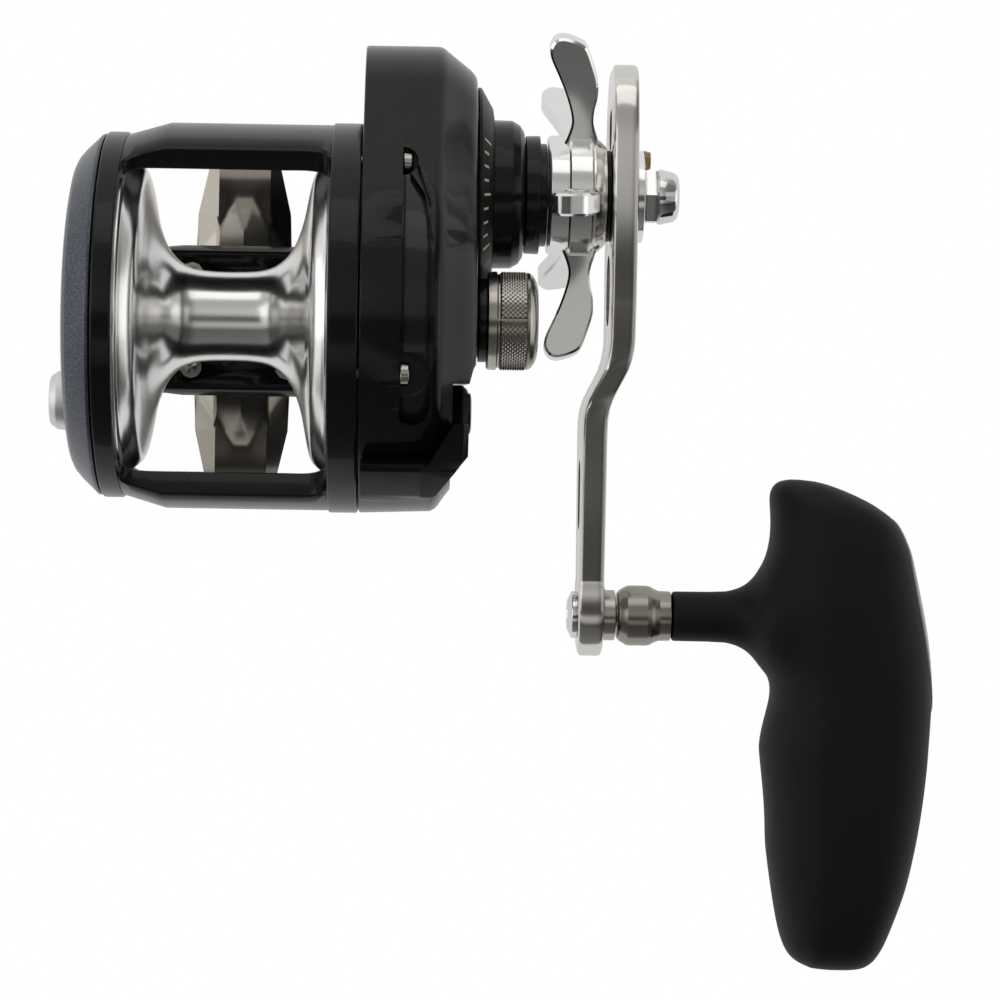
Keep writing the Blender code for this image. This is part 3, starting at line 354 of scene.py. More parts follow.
def soften(obj, width, segments=3, angle=28.0):
    """Breaks the edges with a small round bevel."""
    modifier = obj.modifiers.new("soften", "BEVEL")
    modifier.width = width * MM
    modifier.segments = segments
    modifier.limit_method = "ANGLE"
    modifier.angle_limit = math.radians(angle)
    modifier.miter_outer = "MITER_ARC"
    modifier.harden_normals = False
    bake(obj)
    smooth(obj, 40.0)


def keep(obj, body, slot, *nodes):
    """The piece moves with the body and stands for the named CAD nodes, which are hidden. The slot is not
    used.
    """
    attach(obj, body)
    if nodes:
        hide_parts(*nodes)


def repaint(node, finish):
    """A CAD node that stays, in the scene's own material."""
    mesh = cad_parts[node].data
    mesh.materials.clear()
    mesh.materials.append(finish)


# ---------------------------------------------------------------- stage
def area_light(name, place, target, size, power):
    data = bpy.data.lights.new(name, "AREA")
    data.shape = "RECTANGLE"
    data.size, data.size_y = size
    data.energy = power
    lamp = bpy.data.objects.new(name, data)
    lamp.location = place
    lamp.rotation_euler = (Vector(target) - Vector(place)).to_track_quat("-Z", "Y").to_euler()
    bpy.context.scene.collection.objects.link(lamp)


# radiance against the lean from straight up, in degrees, positive towards the front
WORLD_LEAN = ((-180, 0.8), (-118, 0.8), (-98, 0.2), (-46, 0.12), (-35, 0.07), (-27, 0.4), (-19, 0.5))
WORLD_LEAN += ((-14, 0.08), (-3, 0.05), (0, 0.22), (2, 0.48), (10, 0.5), (30, 0.38), (50, 0.42))
WORLD_LEAN += ((80, 0.8), (180, 0.8))
# multiplier against the sideways part of the direction
WORLD_SIDE = ((-1.0, 0.9), (-0.6, 1.1), (-0.2, 1.0), (0.25, 1.0), (0.5, 0.45), (0.8, 0.4), (1.0, 0.9))
# the white room near the horizon on either side
WORLD_ENDS = ((-1.0, 1.0), (-0.93, 0.9), (-0.82, 0.0), (0.0, 0.0), (0.82, 0.0), (0.93, 0.9), (1.0, 1.0))


def make_studio_world():
    """A soft room, dark overhead and to the rear, white at the sides. The camera sees plain white."""
    world = bpy.data.worlds.new("studio")
    bpy.context.scene.world = world
    world.use_nodes = True
    tree = world.node_tree
    place = tree.nodes.new("ShaderNodeTexCoord")
    split = tree.nodes.new("ShaderNodeSeparateXYZ")
    tree.links.new(place.outputs["Generated"], split.inputs["Vector"])
    lean = tree.nodes.new("ShaderNodeMath")
    lean.operation = "ARCTAN2"
    tree.links.new(split.outputs["Y"], lean.inputs[0])
    tree.links.new(split.outputs["Z"], lean.inputs[1])
    fore_aft = look_up(tree, lean.outputs[0], (-math.pi, math.pi), WORLD_LEAN)
    sideways = look_up(tree, split.outputs["X"], (-1.0, 1.0), WORLD_SIDE)
    both = tree.nodes.new("ShaderNodeMath")
    both.operation = "MULTIPLY"
    tree.links.new(fore_aft, both.inputs[0])
    tree.links.new(sideways, both.inputs[1])
    ends = tree.nodes.new("ShaderNodeMath")
    ends.operation = "MAXIMUM"
    tree.links.new(both.outputs[0], ends.inputs[0])
    tree.links.new(look_up(tree, split.outputs["X"], (-1.0, 1.0), WORLD_ENDS), ends.inputs[1])
    path = tree.nodes.new("ShaderNodeLightPath")
    backdrop = tree.nodes.new("ShaderNodeMath")
    backdrop.operation = "MULTIPLY"
    backdrop.inputs[1].default_value = BACKDROP
    tree.links.new(path.outputs["Is Camera Ray"], backdrop.inputs[0])
    strongest = tree.nodes.new("ShaderNodeMath")
    strongest.operation = "MAXIMUM"
    tree.links.new(ends.outputs[0], strongest.inputs[0])
    tree.links.new(backdrop.outputs[0], strongest.inputs[1])
    background = tree.nodes["Background"]
    background.inputs["Color"].default_value = (1.0, 0.985, 0.96, 1.0)
    tree.links.new(strongest.outputs[0], background.inputs["Strength"])


def look_up(tree, value, span, table):
    """A value looked up in a table of (input, output), blended between the rows."""
    low, high = span
    fit = tree.nodes.new("ShaderNodeMapRange")
    fit.inputs["From Min"].default_value = low
    fit.inputs["From Max"].default_value = high
    tree.links.new(value, fit.inputs["Value"])
    node = tree.nodes.new("ShaderNodeValToRGB")
    node.color_ramp.interpolation = "EASE"
    scale = math.pi / 180.0 if high > 2.0 else 1.0
    stops = node.color_ramp.elements
    for k, (at, level) in enumerate(table):
        spot = (at * scale - low) / (high - low)
        stop = stops[k] if k < 2 else stops.new(spot)
        stop.position = spot
        stop.color = (0.5 * level, 0.5 * level, 0.5 * level, 1.0)
    tree.links.new(fit.outputs["Result"], node.inputs["Fac"])
    double = tree.nodes.new("ShaderNodeMath")
    double.operation = "MULTIPLY"
    double.inputs[1].default_value = 2.0
    tree.links.new(node.outputs["Color"], double.inputs[0])
    return double.outputs[0]


def make_stage():
    floor_z = cad_box[0][2] - 0.0002
    half = 2.5
    corners = [(-half, -half), (half, -half), (half, half), (-half, half)]
    mesh = bpy.data.meshes.new("floor")
    mesh.from_pydata([(x, y, floor_z) for x, y in corners], [], [(0, 1, 2, 3)])
    made, tree, shader = shader_of("floor_white")
    shader.inputs["Base Color"].default_value = (0.8, 0.8, 0.8, 1.0)
    shader.inputs["Roughness"].default_value = 0.9
    shader.inputs["Specular IOR Level"].default_value = 0.0
    white = tree.nodes.new("ShaderNodeEmission")
    glossy = tree.nodes.new("ShaderNodeMath")
    glossy.operation = "MULTIPLY"
    glossy.inputs[1].default_value = FLOOR_IN_GLOSS
    path = tree.nodes.new("ShaderNodeLightPath")
    either = tree.nodes.new("ShaderNodeMixShader")
    seen = tree.nodes.new("ShaderNodeMath")
    seen.operation = "MAXIMUM"
    tree.links.new(path.outputs["Is Camera Ray"], seen.inputs[0])
    tree.links.new(path.outputs["Is Glossy Ray"], glossy.inputs[0])
    tree.links.new(glossy.outputs[0], seen.inputs[1])
    tree.links.new(seen.outputs[0], either.inputs["Fac"])
    tree.links.new(shader.outputs["BSDF"], either.inputs[1])
    tree.links.new(white.outputs["Emission"], either.inputs[2])
    tree.links.new(either.outputs["Shader"], tree.nodes["Material Output"].inputs["Surface"])
    mesh.materials.append(made)
    floor = bpy.data.objects.new("floor", mesh)
    bpy.context.scene.collection.objects.link(floor)
    make_studio_world()
    target = (0.02, -0.01, 0.05)
    area_light("left_softbox", (-0.55, 0.10, 0.42), target, (0.5, 0.8), 0.7)
    area_light("right_softbox", (0.70, 0.05, 0.50), target, (0.5, 0.8), 0.4)
    area_light("front_softbox", (0.05, 0.60, 0.45), target, (0.7, 0.35), 0.5)
    bpy.context.scene.view_settings.view_transform = "Standard"


# ---------------------------------------------------------------- spool
def make_spool(colours):
    side = [(0.0, 9.0), (4.0, 9.1), (7.0, 9.5), (9.4, 10.5), (11.4, 12.2), (12.9, 14.4), (14.0, 17.0)]
    side += [(14.9, 20.0), (15.6, 23.5), (16.2, 26.5), (16.9, 28.8), (17.8, 30.0), (19.2, 31.1)]
    side += [(20.0, 31.6)]
    side += [(20.4, 32.4), (22.3, 32.4)]
    recess = [(22.3, 30.6), (19.7, 28.4), (18.0, 23.5), (16.3, 17.4), (14.2, 12.4), (13.2, 9.8)]
    recess += [(13.2, 5.0)]
    right_end, left_end, bore = 22.8, -24.7, 2.62
    side = [tuple(row) for row in smooth_table(side[:-2], 60)] + side[-2:]
    profile = [(-x, r) for x, r in reversed(side)] + side[1:] + recess
    profile += [(right_end, 5.0), (right_end, bore), (left_end, bore), (left_end, 5.0)]
    profile += [(-x, r) for x, r in reversed(recess)]
    spool = lathe("spool_turned", profile, SPOOL, colours["spool"], 0.3, SIDES)
    keep(spool, "spool", "polished_aluminium", "spool")
    for node in ("spool_shaft", "click_gear", "spool_drive_pin"):
        repaint(node, colours["steel"])


# ---------------------------------------------------------------- frame
def band_section(x, inner, outer, first, last, lip, steps=14):
    """One cross-section of a bar of the frame: an arc band with its edges rolled by the lip."""
    middle = 0.5 * (first + last)
    corners = [(outer - lip, first), (outer, first + 2.6 * lip)]
    corners += [(outer, first + (last - first) * i / steps) for i in range(2, steps - 1)]
    corners += [(outer, last - 2.6 * lip), (outer - lip, last), (inner + lip, last)]
    corners += [(inner, last - 2.6 * lip)]
    corners += [(inner, last - (last - first) * i / steps) for i in range(2, steps - 1)]
    corners += [(inner, first + 2.6 * lip), (inner + lip, first)]
    return [(x, *polar(r, a, SPOOL)) for r, a in corners]


def make_bar(name, first, last, inner, taper):
    """A bar between the rings, with fillets where it meets them."""
    rings = []
    stations = [(-23.0, 2.3, 1.9), (-20.6, 2.3, 1.9), (-20.1, 1.5, 1.2), (-19.3, 0.85, 0.7)]
    stations += [(-18.2, 0.35, 0.3)]
    stations += [(-17.0, 0.1, 0.1), (-15.5, 0.0, 0.0), (-12.0, 0.0, 0.0), (0.0, 0.0, 0.0), (15.5, 0.0, 0.0)]
    stations += [(17.0, 0.1, 0.1), (18.2, 0.35, 0.3), (19.3, 0.85, 0.7), (20.1, 1.5, 1.2), (20.6, 2.3, 1.9)]
    stations += [(24.0, 2.3, 1.9)]
    for x, flare, swell in stations:
        outer = np.interp(x, (-23.0, -20.6, -12.0, 24.0), taper)
        low, high = first - 2.0 * flare, last + 2.0 * flare
        rings.append(band_section(x, inner - 0.6 * swell, outer, low, high, 0.55))
    return loft(name, rings, None)


def make_frame(colours):
    left = [(-24.6, 32.9), (-24.6, 36.9), (-20.6, 36.9), (-20.6, 32.9)]
    body = lathe("frame_casting", left, SPOOL, colours["black"], 0.45, SIDES)
    right = [(20.6, 32.9), (20.6, 39.3), (26.5, 39.3), (26.5, 32.9)]
    combine(body, lathe("tool", right, SPOOL, None, 0.5, SIDES), "UNION")
    for first, last in ((-18.0, 33.6), (157.2, 198.0)):
        combine(body, make_bar("tool", first, last, 33.5, (36.3, 36.4, 38.9, 38.9)), "UNION")
    base = make_bar("tool", 245.0, 295.0, 34.4, (36.2, 36.3, 38.5, 38.5))
    combine(body, base, "UNION")
    pedestal = [(-13.2, -13.5), (13.2, -13.5), (13.2, 13.5), (-13.2, 13.5)]
    combine(body, prism("tool", rounded(pedestal, 2.0, 4, True), 2.6, 12.9, None, "z"), "UNION")
    for x in (-10.2, 10.2):
        for y in (-10.0, 10.0):
            combine(body, prism("tool", circle(1.7, (x, y), 24), 0.0, 16.0, None, "z"))
            combine(body, prism("tool", circle(3.1, (x, y), 32), 13.5, 22.0, None, "z"))
    soften(body, 0.22, 2, 40.0)
    keep(body, "reel", "black_gloss", "frame")


def make_foot(colours):
    """The rail foot: flat-topped with sloping sides, narrowing to its ends, with a ramp up to the middle."""
    corners = ((13.6, 13.2, 2.4), (14.5, 13.2, 2.4), (14.6, 10.4, 2.4), (23.6, 10.1, 2.4), (33.2, 7.9, 2.1))
    corners += ((35.6, 7.2, 1.7), (36.0, 6.6, 1.3))
    crease = 5.6

    def section(y):
        reach, halves, tops = zip(*corners)
        half, top = float(np.interp(abs(y), reach, halves)), float(np.interp(abs(y), reach, tops))
        xs = [crease + (half - crease) * k / 8.0 for k in range(8, 0, -1)]
        xs += [crease * k / 12.0 for k in range(12, 0, -1)]
        xs = [-x for x in xs] + [0.0] + xs[::-1]
        ring = [(half * k / 24.0, y, 0.0) for k in range(-24, 25)]
        upper = []
        for x in xs:
            fall = 0.42 * max(0.0, abs(x) - crease)
            inside = min(0.83 * (26.4 - abs(y)), 0.8 * (10.6 - abs(x)) - 0.6 * (abs(y) - 14.6))
            rise = 0.34 * 0.5 * (inside + math.hypot(inside, 1.1) - 0.15) if abs(y) > 14.55 else 2.6
            upper.append((x, y, top - min(fall, 1.9) + min(rise, 3.2)))
        return ring + upper[::-1]

    ys = [13.6, 14.5] + [14.6 + 0.45 * k for k in range(30)] + [28.4, 30.8, 33.2, 35.6, 36.0]
    rings = [section(-y) for y in reversed(ys)] + [section(y) for y in ys]
    foot = loft("foot_plate", rings, colours["foot"], sharp=21.0)
    keep(foot, "reel", "nickel", "reel_foot")


# ---------------------------------------------------------------- left side
def make_left_plate(colours):
    outer = [(-32.3, 0.0), (-32.25, 8.0), (-32.0, 16.0), (-31.6, 23.0), (-31.1, 28.0), (-30.6, 30.6)]
    outer += [(-29.9, 32.0), (-28.7, 33.4), (-26.6, 35.4), (-25.6, 36.4), (-24.9, 36.5)]
    inner = [(-24.9, 31.6), (-27.2, 31.2), (-29.2, 28.0), (-29.9, 22.0), (-30.1, 9.2), (-25.6, 9.2)]
    inner += [(-25.6, 6.8), (-30.2, 6.8), (-30.2, 0.0)]
    plate = lathe("left_cover", outer + inner, SPOOL, colours["slate"], 0.35, SIDES)
    length = math.hypot(CLICK[0], SPOOL[1] - CLICK[1])
    slide = ((SPOOL[0] - CLICK[0]) / length, (SPOOL[1] - CLICK[1]) / length)
    slot = stadium(CLICK, (CLICK[0] + 3.5 * slide[0], CLICK[1] + 3.5 * slide[1]), 2.4)
    combine(plate, prism("tool", slot, -34.0, -28.0))
    for angle in (-25.0, 205.0, 270.0):
        centre = polar(34.4, angle, SPOOL)
        combine(plate, prism("tool", circle(2.3, centre, 32), -36.0, -26.7))
        combine(plate, prism("tool", circle(1.3, centre, 24), -30.0, -24.0))
    soften(plate, 0.2, 2, 40.0)
    keep(plate, "reel", "slate_paint", "left_side_plate")
    button = [(-37.1, 0.0), (-37.1, 4.9), (-35.6, 6.0), (-32.7, 6.3), (-32.7, 2.0)]
    button += [(-24.9, 2.0), (-24.9, 1.3), (-23.0, 1.3), (-23.0, 0.0)]
    cap = lathe("button_cap", button, CLICK, colours["button"], 0.7, 96, 4)
    keep(cap, "clicker", "satin_aluminium", "click_button")


# ---------------------------------------------------------------- housing
def hull_outline(spool_r, drive_r, count=220):
    """The convex outline round both axes, as seen along X."""
    outline = []
    for i in range(count):
        y, z = polar(1.0, 360.0 * i / count)
        drive_reach = (DRIVE[0] - SPOOL[0]) * y + (DRIVE[1] - SPOOL[1]) * z + 30.1
        if drive_reach > 39.2:
            outline.append((DRIVE[0] + drive_r * y, DRIVE[1] + drive_r * z))
        else:
            outline.append((SPOOL[0] + spool_r * y, SPOOL[1] + spool_r * z))
    return outline


def hull_loft(name, sections, finish=None):
    rings = [[(x, y, z) for y, z in hull_outline(a, b)] for x, a, b in sections]
    return loft(name, rings, finish)


def make_housing(colours):
    sections = [(26.7, 38.8, 29.7), (26.85, 39.05, 29.95), (27.2, 39.2, 30.1), (41.0, 38.7, 30.1)]
    sections += [(42.0, 38.2, 30.0), (42.7, 37.4, 29.7)]
    sections += [(43.4, 36.3, 29.1), (46.2, 32.6, 26.9), (48.2, 29.9, 25.3), (49.0, 28.6, 24.4)]
    sections += [(49.4, 27.7, 23.6)]
    body = hull_loft("housing_shell", sections, colours["black"])
    inside = ((25.0, 36.8, 27.7), (28.45, 36.8, 27.7), (28.45, 35.8, 26.7), (37.0, 34.6, 26.6))
    inside += ((41.3, 32.4, 26.4), (46.3, 28.0, 23.0))
    cavity = hull_loft("tool", inside)
    for angle in PLATE_SCREWS:
        centre = polar(PLATE_SCREW_R, angle, SPOOL)
        combine(cavity, prism("column", circle(2.35, centre, 24), 20.0, 42.5))
        combine(cavity, prism("column", circle(5.2, centre, 24), 33.6, 42.6))
    shelf = [(-60.0, -20.0), (-60.0, 110.0), (-10.6, 110.0), (-10.6, -20.0)]
    combine(cavity, prism("column", shelf, 42.4, 60.0))
    combine(body, cavity)
    nose = [(46.5, 0.0), (46.5, 15.4), (56.8, 15.2), (58.4, 14.3), (59.3, 12.9), (59.3, 0.0)]
    combine(body, lathe("tool", nose, DRIVE, None, 0.6, 128), "UNION")
    boss = [(45.4, 0.0), (45.4, 7.5), (50.2, 7.5), (50.2, 8.5), (52.0, 8.5), (52.0, 7.3)]
    boss += [(56.0, 7.3), (56.0, 0.0)]
    combine(body, lathe("tool", boss, SPOOL, None, 0.2, 96), "UNION")
    combine(body, prism("tool", circle(10.6, DRIVE, 96), 44.0, 62.0))
    combine(body, prism("tool", circle(6.35, SPOOL, 64), 44.0, 58.0))
    shelf = [(-60.0, -20.0), (-60.0, 110.0), (-13.0, 110.0), (-13.0, -20.0)]
    combine(body, prism("tool", shelf, 44.9, 60.0))
    combine(body, prism("tool", circle(2.2, PIVOT, 32), 38.0, 52.0))
    rear = [(40.4, -17.6), (39.6, -20.2), (37.4, -21.2), (34.6, -20.4)]
    steps_down = ((((34.6, 33.4), (35.9, 32.0), (37.9, 29.0), (40.1, 21.3)), 37.9, 37.7),)
    steps_down += ((((34.6, 29.4), (35.9, 28.1), (39.0, 23.3), (40.4, 15.5)), 36.6, 36.3),)
    for front, near_r, far_r in steps_down:
        groove = prism("channel", rounded(list(front) + rear, 0.8, 4, True), 60.0, 100.0, None, "z")
        ring = [(30.0, near_r), (30.0, 50.0), (45.0, 50.0), (45.0, far_r)]
        combine(groove, lathe("tool", ring, SPOOL, None, 0.1, SIDES), "INTERSECT")
        combine(body, groove)
    floor = [(34.9, 29.0), (36.1, 27.6), (38.7, 22.9), (40.0, 15.4), (40.0, -17.3), (39.3, -19.7)]
    floor += [(37.3, -20.7), (34.9, -19.9)]
    inlay = prism("channel_floor", rounded(floor, 0.8, 4, True), 60.0, 100.0, colours["charcoal"], "z")
    ring = [(30.0, 35.6), (30.0, 36.85), (45.0, 36.55), (45.0, 35.3)]
    combine(inlay, lathe("tool", ring, SPOOL, None, 0.1, SIDES), "INTERSECT")
    wall_x = 34.6
    for start, end, reach, low in ((33.0, 27.4, 3.0, 66.8), (-7.2, -15.6, 5.7, 79.9)):
        middle, half = 0.5 * (start + end), 0.5 * (start - end)
        arc = [polar(1.0, a) for a in range(-90, 91, 10)]
        scoop = [(wall_x + reach * c, middle + half * t) for c, t in arc]
        combine(body, prism("tool", scoop, low, 100.0, None, "z"))
        combine(inlay, prism("tool", scoop, low, 100.0, None, "z"))
    for angle in PLATE_SCREWS:
        centre = polar(PLATE_SCREW_R, angle, SPOOL)
        away = polar(1.35 * PLATE_SCREW_R, angle, SPOOL)
        if centre[1] < SPOOL[1]:
            combine(body, prism("tool", stadium(centre, away, 3.1), 34.6, 40.2))
        combine(body, prism("tool", circle(1.5, centre, 24), 24.0, 36.0))
    nick = [(49.8, -8.4), (48.9, -10.2), (48.2, -12.9), (48.1, -20.0), (54.0, -20.0), (54.0, -8.4)]
    combine(body, prism("tool", nick, 20.0, 110.0, None, "z"))
    soften(body, 0.3, 3, 34.0)
    keep(body, "reel", "black_gloss", "gear_housing")
    soften(inlay, 0.15, 2, 34.0)
    keep(inlay, "reel", "black_gloss")


def make_lever(colours):
    """The thumb lever: a bar over the rear of the housing, turning down to the pivot on the outer side."""
    def band(x, deep=0.0):
        arc = ((42.4 - 0.6 * deep, 132.6 + 2.0 * deep), (43.0, 134.6 + deep), (43.0, 144.0), (42.0, 149.6))
        arc += ((40.2, 149.8), (39.9, 148.4), (39.9, 141.0), (39.9, 134.0 + 2.0 * deep))
        return [(x, *polar(r, a, SPOOL)) for r, a in arc]

    # the lever wears the darker copy of the gloss black, which is painted shade
    bar = loft("lever_shell", [band(27.3), band(40.6), band(41.8, 0.1), band(47.9, 1.2)], colours["lever"])
    foot = [polar(5.6, a, PIVOT) for a in range(-132, 60, 12)]
    crown = [polar(43.0, 134.4, SPOOL), polar(43.0, 144.0, SPOOL), polar(41.0, 149.4, SPOOL)]
    rings = []
    outline = foot + crown
    middle = (sum(p[0] for p in outline) / len(outline), sum(p[1] for p in outline) / len(outline))
    outline = sorted(outline, key=lambda p: math.atan2(p[1] - middle[1], p[0] - middle[0]))
    for x, inset in ((44.95, 0.0), (47.1, 0.0), (48.1, 0.9)):
        rings.append([(x, y, z) for y, z in (shrink(outline, inset) if inset else outline)])
    combine(bar, loft("tool", rings), "UNION")
    brace = [(39.0, -29.2), (40.3, -28.9), (45.2, -20.8), (48.0, -20.8), (48.0, -27.0)]
    brace += [(41.2, -35.2), (39.0, -35.2)]
    wedge = prism("tool", brace, 60.0, 90.0, None, "z")
    ring = [(30.0, 39.95), (42.0, 39.95), (45.4, 35.6), (45.4, 20.0), (48.1, 20.0), (48.1, 42.0)]
    ring += [(47.0, 43.0)]
    combine(wedge, lathe("tool", ring + [(30.0, 43.0)], SPOOL, None, 0.1, SIDES), "INTERSECT")
    combine(bar, wedge, "UNION")
    combine(bar, prism("tool", circle(2.05, PIVOT, 48), 44.0, 49.0))
    corner = [(40.9, -40.0), (40.9, -36.2), (48.2, -26.8), (60.0, -26.8), (60.0, -50.0), (40.9, -50.0)]
    combine(bar, prism("tool", corner, 30.0, 110.0, None, "z"))
    soften(bar, 0.4, 3, 22.0)
    keep(bar, "lever", "black_gloss", "clutch_lever")
    repaint("lever_pivot", colours["black"])


def make_nose(colours):
    ring = [(49.7, 15.8), (49.7, 22.0), (50.4, 21.8), (52.8, 17.6), (53.1, 15.8)]
    index = lathe("index_collar", ring, DRIVE, colours["satin"], 0.25, SIDES)
    combine(index, prism("tool", circle(10.8, SPOOL, 96), 49.0, 55.0))
    keep(index, "reel", "black_satin", "index_ring")
    top_x, top_r = 50.4, 21.8
    slope = math.atan2(top_r - 17.6, 52.8 - top_x)
    for k in range(9):
        angle = 62.0 + 8.0 * k
        reach = 2.6 if k % 4 == 0 else 1.7
        points = []
        for lift in (-0.1, 0.06):
            for s in (0.9, 0.9 + reach):
                x = top_x + s * math.cos(slope) + lift * math.sin(slope)
                r = top_r - s * math.sin(slope) + lift * math.cos(slope)
                points += [(x, *polar(r, angle + d, DRIVE)) for d in (-0.7, 0.7)]
        faces = [(0, 1, 3, 2), (4, 6, 7, 5), (0, 2, 6, 4), (1, 5, 7, 3), (0, 4, 5, 1), (2, 3, 7, 6)]
        keep(mesh_object(f"index_mark_{k + 1}", points, faces, colours["mark"]), "reel", "black_satin")
    cap = [(57.9, 8.95), (57.9, 10.3), (59.6, 10.3), (59.6, 12.1), (62.6, 12.2), (62.6, 10.6), (64.0, 10.6)]
    cap += [(64.0, 6.9), (62.8, 6.9), (62.8, 8.95)]
    keep(lathe("nose_collar", cap, DRIVE, colours["black"], 0.3, 128), "reel", "black_gloss", "nose_cap")
    repaint("drag_sleeve", colours["steel"])


def make_tension_knob(colours):
    """Knurled cast-control cap: a plain lip and groove, then the diamond knurl and a turned end."""
    segments, count, cells = 256, 22, 4
    line = [(56.5, 0.0), (56.5, 7.75), (51.9, 7.75), (51.9, 9.5), (52.2, 9.9), (53.8, 10.0)]
    line += [(54.1, 9.5), (54.4, 9.5)]
    rings = [[(line[0][0], *SPOOL)]]
    rings += [[(x, *polar(r, 360.0 * i / segments, SPOOL)) for i in range(segments)] for x, r in line[1:]]
    start, end = 54.5, 59.9
    for k in range(count + 1):
        x = start + (end - start) * k / count
        ring = []
        for i in range(segments):
            a, b = (i + k) % cells / cells, (i - k) % cells / cells
            crest = 2.0 * min(a, 1.0 - a, b, 1.0 - b)
            fade = min(1.0, float(k), float(count - k))
            in_groove = abs(i % (segments // 4) - segments // 8) < 2
            r = 9.4 if in_groove else 9.62 + 0.42 * crest * fade
            ring.append((x, *polar(r, 360.0 * i / segments + 45.0, SPOOL)))
        rings.append(ring)
    cap = ((60.0, 9.9), (60.5, 9.75), (61.1, 9.3), (61.6, 8.6), (62.0, 7.7), (62.2, 6.8))
    cap += ((62.2, 3.2), (61.5, 2.8))
    for x, r in cap:
        rings.append([(x, *polar(r, 360.0 * i / segments, SPOOL)) for i in range(segments)])
    rings.append([(61.5, *SPOOL)])
    keep(loft("cast_knob", rings, colours["nickel"], sharp=18.0), "tension", "nickel", "tension_knob")


# ---------------------------------------------------------------- star
def make_star(colours):
    """Five flat paddle blades with narrow crisp bevels, on a turned hub."""
    hub = [(64.2, 3.3), (64.2, 11.8), (64.8, 12.3), (69.0, 12.3), (73.8, 12.3), (75.2, 11.2)]
    hub += [(76.2, 10.2), (76.2, 3.3)]
    star = lathe("star_casting", hub, DRIVE, colours["star"], 0.4, 128)
    ribbon = [(68.3, 5.0), (68.3, 13.0), (68.7, 13.4), (72.9, 13.4), (73.3, 13.0), (73.3, 5.0)]
    combine(star, lathe("tool", ribbon, DRIVE, None, 0.1, 128), "UNION")
    blade = [(66.0, 8.6), (66.6, 10.9), (67.4, 12.3), (68.2, 14.2), (68.7, 16.2), (68.6, 18.0)]
    blade += [(68.0, 20.4)]
    blade += [(66.9, 23.6), (65.5, 26.9), (64.2, 29.8), (63.8, 31.6), (64.1, 33.0), (65.0, 34.1)]
    blade += [(66.4, 34.5)]
    blade += [(68.6, 34.0), (70.5, 33.1), (71.5, 31.9), (72.6, 29.0), (73.5, 26.2), (73.8, 24.2)]
    blade += [(73.7, 21.6)]
    blade += [(73.2, 19.0), (73.1, 16.8), (73.4, 15.0), (74.0, 13.2), (74.5, 11.2), (74.8, 8.6)]
    blade = [tuple(row) for row in smooth_table(blade, 100)]
    edge = shrink(blade, 0.45)
    for k in range(5):
        angle = math.radians(97.0 + 72.0 * k)
        rings = []
        for side, line in ((-1.0, edge), (-0.78, blade), (0.78, blade), (1.0, edge)):
            ring = []
            for x, radius in line:
                tip = max(0.0, min(1.0, (radius - 20.0) / 8.0))
                root = max(0.0, min(1.0, (15.0 - radius) / 5.0))
                s = side * (1.9 + 0.3 * tip + 0.8 * root)
                y = radius * math.cos(angle) - s * math.sin(angle)
                z = radius * math.sin(angle) + s * math.cos(angle)
                ring.append((x, DRIVE[0] + y, DRIVE[1] + z))
            rings.append(ring)
        combine(star, loft("tool", rings), "UNION")
    smooth(star, 22.0)
    keep(star, "star", "satin_aluminium", "star_wheel")


